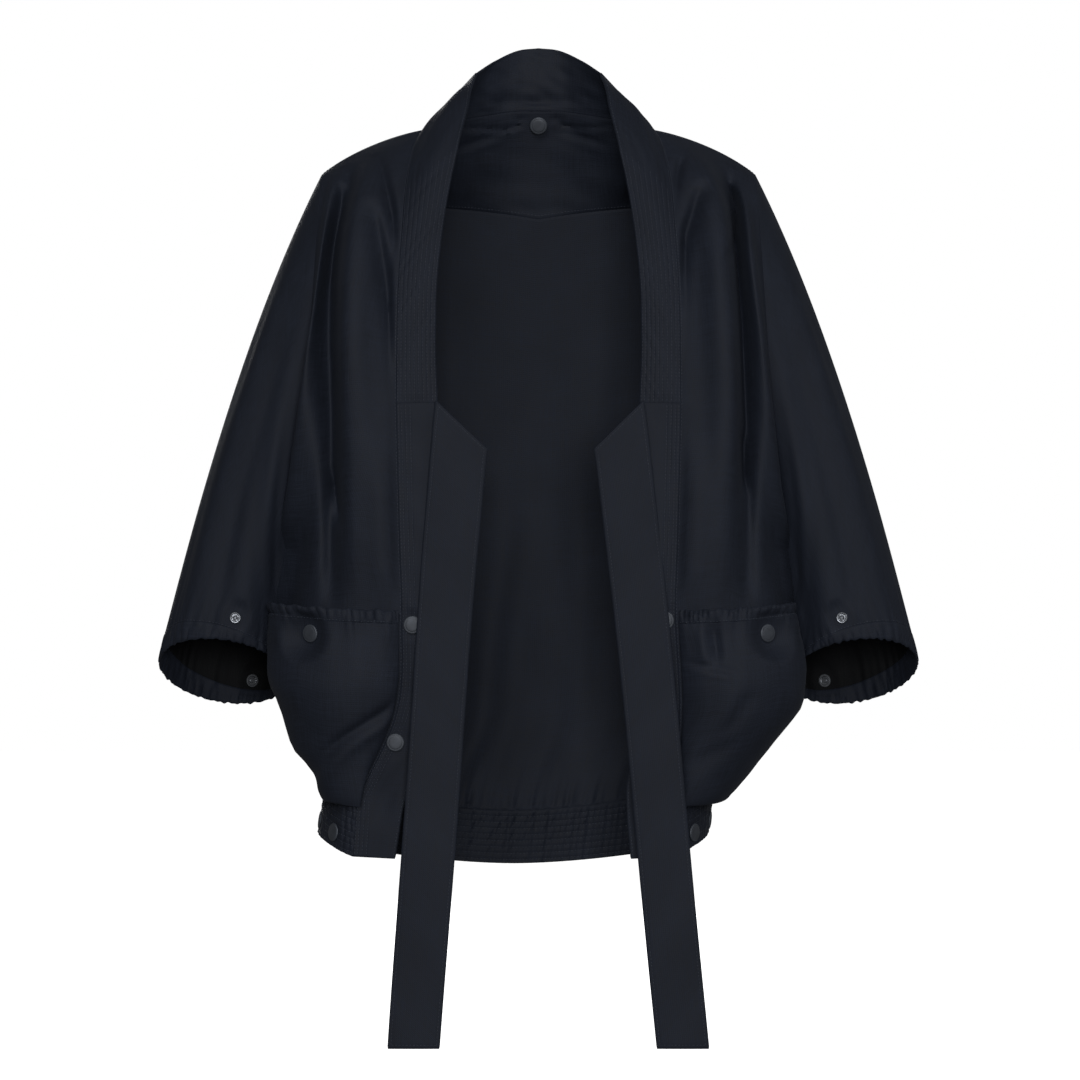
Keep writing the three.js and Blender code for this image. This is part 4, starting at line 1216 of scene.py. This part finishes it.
class JACKET_OT_pockets(bpy.types.Operator):
    """A pouch pocket with a gathered casing on each front."""

    bl_idname = "cape_jacket.pockets"
    bl_label = "Pockets"

    def execute(self, context):
        sizes = context.scene.cape_jacket_sizes
        cloth, doubled = sizes.cloth / MM, sizes.doubled / MM
        for name, side in SIDES.items():
            front, inward = front_grid(side), (side * 60, 40, -550)
            casing, pouch = pocket_grids(front, facing_from(front, inward), side)
            grid, down, over = pouch
            top = self.pouch(name, side, grid, down, over, inward, cloth, sizes.fold_share)
            self.casing(name, side, casing[0], casing[2], inward, doubled, top)
        return {"FINISHED"}

    def pouch(self, name, side, base, down, over, inward, cloth, share):
        grid = pouch_drape(base, down, over, side, facing_from(base, inward), share)
        place = under_snap(f"{name}_pocket_snap_cap", cloth / 2)
        grid = settle(grid, facing_from(grid, inward), place, 22)
        sew_panel(f"{name}_pocket", grid, facing_from(grid, inward), cloth, "shell")
        return grid[0]

    def casing(self, name, side, base, over, inward, doubled, top):
        face = facing_from(base, inward)
        run, drop = lengths(base)
        share = np.linspace(0, 1, base.shape[0])[:, None]
        grid = reach_side(base, over, side, 1)
        grid = grid + (top - grid[-1])[None] * ramp(share, 0, 1)[:, :, None]
        ruffle = ripple(run / 6, 100 + side) * 0.8 + ripple(run / 13, 103 + side) * 0.9
        grid = grid + face * (ruffle * (1 - share) ** 0.5)[:, :, None]
        grid[:, :, 2] += ripple(run / 17, 106 + side) * 0.8 * (1 - share)
        face = facing_from(grid, inward)
        puff = 0.7 * np.sin(math.pi * share) ** 0.6 * np.ones_like(run)
        sew_panel(f"{name}_pocket_hem", grid, face, doubled, "shell",
                  puff=puff)
        cols = np.linspace(1, grid.shape[1] - 2, 400)
        lines = [(np.full(cols.shape, grid.shape[0] - 2.2), cols)]
        topstitch(f"{name}_pocket_casing_topstitch", grid, face, doubled / 2 + puff, lines)


# ---------------------------------------------------------------- the sleeves
def sleeve_bend(name, side):
    """Where a sleeve bends away from the garment: a name and two points along the arm, which dress
    does not use.
    """
    square = np.array([UNDERARM_DROP - SHOULDER_DROP, 0, (UNDERARM_HALF - SHOULDER_HALF)], float)
    square /= np.linalg.norm(square)
    top = np.array([SHOULDER_HALF, 0, -SHOULDER_DROP], float)
    start, end = top + square * 2.5, top + square * 56
    return f"{name}_sleeve_body", tuple(start * (side, 1, 1) * MM), tuple(end * (side, 1, 1) * MM)


def facing_out(grid, base):
    """The directions of a closed sleeve, away from the middle of each ring of its base."""
    return directions(grid, base - base.mean(axis=1, keepdims=True), True)


class JACKET_OT_sleeves(bpy.types.Operator):
    """Wide sleeves with turned hems."""

    bl_idname = "cape_jacket.sleeves"
    bl_label = "Sleeves"

    def execute(self, context):
        sizes = context.scene.cape_jacket_sizes
        for name, side in SIDES.items():
            self.sleeve(name, side, sizes.cloth / MM, sizes.doubled / MM, sizes.fold_share)
        return {"FINISHED"}

    def sleeve(self, name, side, cloth, doubled, share):
        rows = 190
        base, turn = sleeve_grid(side, rows)
        grid = sleeve_drape(base, facing_out(base, base), turn, side, share)
        over, down = lengths(grid)
        hem_rows = int(round(CUFF_HEM / (down[-1].mean() / rows)))
        from_end = (rows - hem_rows) - np.arange(rows + 1)[:, None]
        pull = ripple(over / 12, 120 + side) * 0.5 * np.exp(-np.maximum(from_end, 0) / 9)
        pull = pull * (from_end >= 0)
        grid = grid + facing_out(grid, base) * pull[:, :, None]
        body, body_base = grid[: rows - hem_rows + 1], base[: rows - hem_rows + 1]
        stud, axis, low, high = snap_place(f"{name}_sleeve_front_snap_stud")
        post = snap_place(f"{name}_sleeve_front_snap_post")[0]
        places = ((stud + post) / 2, axis), under_snap(f"{name}_sleeve_back_snap_cap", cloth / 2)
        for place in places:
            body = settle(body, facing_out(body, body_base), place, 12)
        face = facing_out(body, body_base)
        bend = sleeve_bend(name, side)
        # lined: the sleeve's inside faces get the much darker colour as painted shade.
        sew_panel(f"{name}_sleeve", body, face, cloth, "shell",
                  body=bend, closed=True, lined=True)
        self.hem(name, side, body[-1], base[-1], over[-1], doubled, bend)
        cols = np.linspace(0, body.shape[1] - 1.01, 1200)
        lines = [(np.full(cols.shape, body.shape[0] - 1.8), cols)]
        topstitch(f"{name}_sleeve_hem_topstitch", body, face, np.full(body.shape[:2], cloth / 2),
                  lines, bend)

    def hem(self, name, side, upper, lower, over, doubled, bend):
        share = np.linspace(0, 1, 11)[:, None]
        t = share[:, :, None]
        base = upper[None] * (1 - t) + lower[None] * t
        run = over[None] + 0 * share
        frill = ripple(run / 5.5, 130 + side) * 0.35 + ripple(run / 12, 133 + side) * 0.45
        grid = base + facing_out(base, base) * (frill * ramp(share, 0.05, 0.7))[:, :, None]
        grid[:, :, 2] += ripple(run / 9, 137 + side) * 0.6 * share
        puff = 0.5 * np.sin(math.pi * share) ** 0.5 * np.ones_like(run)
        sew_panel(f"{name}_sleeve_hem", grid, facing_out(grid, base), doubled, "shell",
                  body=bend, closed=True, puff=puff)


# ---------------------------------------------------------------- the ties
# Of each tie, in mm: its upper edge, its inset there, its lower edge, and the seed of its creases.
TIES = {-1: (96, 48, 140, 3), 1: (98, 46, 158.6, 5)}
TIE_STAND = 4.5  # in front of the front's edge
TIE_TRIM = 0.3  # thinner than the bands


class JACKET_OT_ties(bpy.types.Operator):
    """Two long flat ties, cut on a slant where they are sewn to the bands."""

    bl_idname = "cape_jacket.ties"
    bl_label = "Ties"

    def execute(self, context):
        sizes = context.scene.cape_jacket_sizes
        for name, side in SIDES.items():
            self.tie(name, side, sizes.doubled / MM)
        return {"FINISHED"}

    def tie(self, name, side, doubled):
        top, inset, bottom, seed = TIES[side]
        v, u = np.linspace(0, 1, 301)[:, None], np.linspace(0, 1, 41)[None, :]
        x = side * (mix(top, bottom, v ** 0.9) - mix(inset, TIE_WIDTH, v) * u)
        z = mix(2 - WAIST_DROP - TIE_CUT * u, -TIE_DROP + 0 * u, v)
        y = -(FRONT_DEPTH + TIE_STAND) - 5 * ramp(v, 0.1, 0.8) + 0 * u
        base = np.stack([x + 0 * v, y + 0 * x, z], 2)
        forward = np.array([0, -1, 0]) + 0 * base
        over, down = lengths(base)
        soft = crumple(over, down, 150 + seed, 400, 240) * 0.7 * ramp(down, 5, 90)
        cup = 0.9 * np.sin(math.pi * u) * ramp(down, 0, 60)
        waver = 1.2 * np.sin(down / 74 + seed) * ramp(down, 20, 160)
        grid = base + directions(base, forward) * (soft + cup)[:, :, None]
        grid[:, :, 0] += waver * 0.5
        face = directions(grid, forward)
        edge = np.minimum(over, over[:, -1:] - over)
        edge = np.minimum(edge, np.minimum(down, down[-1:] - down) + 0.6)
        puff = 0.3 * (1 - bump(edge - 2.6, 1.1)) * ramp(edge, 0, 1.5)
        bend = (f"{name}_tie_body", (side * 0.097, -0.121, -0.290), (side * 0.097, -0.121, -0.360))
        sew_panel(f"{name}_tie", grid, face, doubled - TIE_TRIM, "band",
                  body=bend, puff=puff)
        rows, cols = np.linspace(2, 299, 900), np.linspace(2, 38, 60)
        seam = 2.6 / TIE_WIDTH * 40
        lines = [(rows, np.full(rows.shape, at)) for at in (seam, 40 - seam)]
        lines += [(np.full(cols.shape, at), cols) for at in (1.3, 298.6)]
        lift = doubled / 2 - TIE_TRIM / 2 + puff
        topstitch(f"{name}_tie_topstitch", grid, face, lift, lines, body=bend)


# ---------------------------------------------------------------- press snaps
CAP_PROFILE = ((0, 2.05), (3, 2.05), (5.2, 2.0), (6.1, 1.86), (6.5, 1.62), (6.8, 1.6),
               (7.2, 1.66), (7.8, 1.5), (8.3, 1.1), (8.5, 0.6), (8.4, 0.15), (8.0, 0), (0, 0))
POST_PROFILE = ((0, 0.15), (1.1, 0.15), (1.3, 0.35), (1.5, 0.8), (1.9, 1.0), (2.3, 0.8),
                (2.5, 0.35), (3.4, 0.3), (3.7, 0.5), (4.1, 0.85), (4.7, 0.9), (5.1, 0.6),
                (5.2, 0.2), (5.0, 0), (0, 0))
STUD_PROFILE = ((0, 2.75), (1.2, 2.75), (1.8, 2.55), (2.0, 2.2), (1.8, 1.8), (1.75, 1.4),
                (2.2, 1.05), (3.4, 0.9), (4.4, 1.0), (5.0, 0.8), (5.2, 0.4), (5.0, 0), (0, 0))
SOCKET_PROFILE = ((0, 0.6), (2.0, 0.6), (2.45, 0.9), (2.5, 2.3), (2.8, 2.7), (3.4, 2.7),
                  (3.8, 2.2), (4.4, 1.9), (5.2, 2.1), (5.9, 2.0), (6.3, 1.4), (6.4, 0.5),
                  (6.2, 0), (0, 0))
PROFILES = {"cap": CAP_PROFILE, "post": POST_PROFILE, "stud": STUD_PROFILE,
            "socket": SOCKET_PROFILE}
TURNS = 48


def turned(name, profile, foot, axis, extras=()):
    """A part pressed round its axis, from its foot on the cloth, with small bars on it."""
    side_way = np.cross(axis, (0.0, 0.0, 1.0))
    side_way /= np.linalg.norm(side_way)
    other = np.cross(axis, side_way)
    angle = np.linspace(0, 2 * math.pi, TURNS, endpoint=False)
    points, faces = [foot + axis * profile[0][1]], []
    rings = profile[1:-1]
    for radius, height in rings:
        for a in angle:
            outward = side_way * math.cos(a) + other * math.sin(a)
            points.append(foot + outward * radius + axis * height)
    points.append(foot + axis * profile[-1][1])
    last = len(points) - 1
    for k in range(TURNS):
        n = (k + 1) % TURNS
        faces.append((0, 1 + k, 1 + n))
        for r in range(len(rings) - 1):
            low = 1 + r * TURNS
            faces.append((low + k, low + TURNS + k, low + TURNS + n, low + n))
        low = 1 + (len(rings) - 1) * TURNS
        faces.append((low + n, low + k, last))
    for inner, outer, width, low, high, turn in extras:
        along = side_way * math.cos(turn) + other * math.sin(turn)
        beside = np.cross(axis, along)
        start = len(points)
        for h in (low, high):
            for r, w in ((inner, -1), (outer, -1), (outer, 1), (inner, 1)):
                points.append(foot + along * r + beside * w * width / 2 + axis * h)
        a = start
        faces += [(a, a + 3, a + 2, a + 1), (a + 4, a + 5, a + 6, a + 7), (a, a + 1, a + 5, a + 4),
                  (a + 1, a + 2, a + 6, a + 5), (a + 2, a + 3, a + 7, a + 6),
                  (a + 3, a, a + 4, a + 7)]
    piece = loose_mesh(name, points, faces)
    piece.data.set_sharp_from_angle(angle=math.radians(32))
    return piece


SNAP_BODIES = {"neck_snap_cap": "neck_snap_top", "neck_snap_socket": "neck_snap_top"}


class JACKET_OT_snaps(bpy.types.Operator):
    """Caps, sockets, studs and posts of the press snaps."""

    bl_idname = "cape_jacket.snaps"
    bl_label = "Press snaps"

    def execute(self, context):
        for name in sorted(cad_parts):
            kind = name.rsplit("_", 1)[-1]
            if kind not in PROFILES:
                continue
            middle, axis, low, high = snap_place(name)
            points = snap_points(name)
            along = (points - middle) @ axis
            reach = np.linalg.norm(points - middle - along[:, None] * axis, axis=1)
            lower = along < (low + high) / 2
            foot_low = reach[lower].max() >= reach[~lower].max() - 0.01
            if kind == "socket":
                # Its open end is as wide as its foot, so the foot is the end with the middle point.
                centre = reach < 0.5
                foot_low = along[centre].min() - low < high - along[centre].max()
            grow = axis if foot_low else -axis
            foot = middle + axis * (low if foot_low else high)
            bars = [(2.3, 3.7, 0.7, 0.1, 0.62, k * math.pi / 2 + 0.5) for k in range(4)]
            bars = bars if kind == "post" else ()
            piece = turned(f"{name}_pressed", PROFILES[kind], foot, grow, bars)
            body = SNAP_BODIES.get(name, "garment")
            if "_sleeve_" in name:
                body = name.split("_")[0] + "_sleeve_body"
            dress(piece, finish_of("cap" if kind == "cap" else "ring"), body, (name,))
        return {"FINISHED"}


# ---------------------------------------------------------------- the studio
VIEW_MIDDLE = -0.401  # height of the middle of the view, in metres
VIEW_TALL = 1.026
CAMERA_AWAY = 8.0
SENSOR = 36  # mm
VIEW_ACROSS = 0.0014
FLOOR_DROP = -0.955
FLOOR_REACH = 14.0
FLOOR_GLOW = 0.93  # lit from beneath, as white acrylic is
ROOM_LIGHT = 0.16  # of the white room's light that falls on the cloth
SOFTBOXES = (  # name, place, target, size in metres, watts
    ("key softbox", (-0.7, -3.4, 1.9), (0, 0, -0.35), 1.4, 54),
    ("front softbox", (0.4, -6.0, 0.2), (0, 0, -0.4), 1.6, 190),
    ("side softbox", (3.2, -1.6, 1.2), (0, 0, -0.4), 1.6, 25),
    ("back softbox", (-0.8, 4.6, 1.0), (0, 0, -0.4), 2.0, 90),
)


class JACKET_OT_stage(bpy.types.Operator):
    """Pale floor, soft lights and the camera."""

    bl_idname = "cape_jacket.stage"
    bl_label = "Studio"

    def execute(self, context):
        scene = context.scene
        floor_mesh = bpy.data.meshes.new("studio_floor")
        corners = ((-1, -1), (1, -1), (1, 1), (-1, 1))
        floor_mesh.from_pydata([(x * FLOOR_REACH, y * FLOOR_REACH, FLOOR_DROP) for x, y in corners],
                               [], [(0, 1, 2, 3)])
        floor = bpy.data.objects.new("studio_floor", floor_mesh)
        scene.collection.objects.link(floor)
        material, tree = blank_material("backlit white acrylic floor")
        shader = node(tree, "ShaderNodeBsdfPrincipled", Roughness=0.9,
                      Base_Color=linear(scene.cape_jacket_colours.floor),
                      Emission_Color=(1, 1, 1, 1), Emission_Strength=FLOOR_GLOW)
        node(tree, "ShaderNodeOutputMaterial", [(shader.outputs[0], "Surface")])
        floor_mesh.materials.append(material)
        floor.visible_diffuse = floor.visible_glossy = False  # no light back up into the dark folds

        world = bpy.data.worlds.new("white studio")
        world.use_nodes = True
        tree = world.node_tree
        tree.nodes.clear()
        seen = node(tree, "ShaderNodeLightPath").outputs["Is Camera Ray"]
        strength = node(tree, "ShaderNodeMapRange", [(seen, "Value")], To_Min=ROOM_LIGHT,
                        To_Max=1.0)
        light = node(tree, "ShaderNodeBackground", [(strength.outputs[0], "Strength")],
                     Color=(1, 1, 1, 1))
        node(tree, "ShaderNodeOutputWorld", [(light.outputs[0], "Surface")])
        scene.world = world

        for lamp in SOFTBOXES:
            self.softbox(*lamp)

        camera = bpy.data.objects.new("camera", bpy.data.cameras.new("camera"))
        scene.collection.objects.link(camera)
        camera.location = (VIEW_ACROSS, -CAMERA_AWAY, VIEW_MIDDLE)
        camera.rotation_euler = (math.radians(90), 0, 0)
        camera.data.sensor_width = SENSOR
        camera.data.lens = SENSOR * CAMERA_AWAY / VIEW_TALL
        camera.data.clip_end = 60
        scene.camera = camera
        scene.view_settings.view_transform = "Standard"
        return {"FINISHED"}

    def softbox(self, name, place, target, size, power):
        light = bpy.data.lights.new(name, "AREA")
        light.shape = "SQUARE"
        light.size = size
        light.energy = power
        lamp = bpy.data.objects.new(name, light)
        bpy.context.scene.collection.objects.link(lamp)
        lamp.location = place
        away = np.array(place, float) - np.array(target, float)
        flat = math.hypot(away[0], away[1])
        lamp.rotation_euler = (math.atan2(flat, away[2]), 0, math.atan2(away[0], -away[1]))


# ---------------------------------------------------------------- panel and start
PIECES = (JACKET_OT_back, JACKET_OT_fronts, JACKET_OT_pockets, JACKET_OT_sleeves, JACKET_OT_ties,
          JACKET_OT_snaps, JACKET_OT_stage)


class JACKET_PT_panel(bpy.types.Panel):
    """Lists the pieces of the jacket with their sizes and colours."""

    bl_idname = "JACKET_PT_panel"
    bl_label = "Cape Jacket"
    bl_space_type = "VIEW_3D"
    bl_region_type = "UI"
    bl_category = "Cape Jacket"

    def draw(self, context):
        for group in (context.scene.cape_jacket_sizes, context.scene.cape_jacket_colours):
            box = self.layout.box()
            for key in group.__annotations__:
                box.prop(group, key)
        for piece in PIECES:
            self.layout.operator(piece.bl_idname)


CLASSES = (CapeJacketSizes, CapeJacketColours, *PIECES, JACKET_PT_panel)


def register():
    for made in CLASSES:
        bpy.utils.register_class(made)
    bpy.types.Scene.cape_jacket_sizes = bpy.props.PointerProperty(type=CapeJacketSizes)
    bpy.types.Scene.cape_jacket_colours = bpy.props.PointerProperty(type=CapeJacketColours)


def unregister():
    del bpy.types.Scene.cape_jacket_sizes
    del bpy.types.Scene.cape_jacket_colours
    for made in reversed(CLASSES):
        bpy.utils.unregister_class(made)


def main():
    register()
    for piece in PIECES:
        group, call = piece.bl_idname.split(".")
        getattr(getattr(bpy.ops, group), call)()


if __name__ == "__main__":
    main()
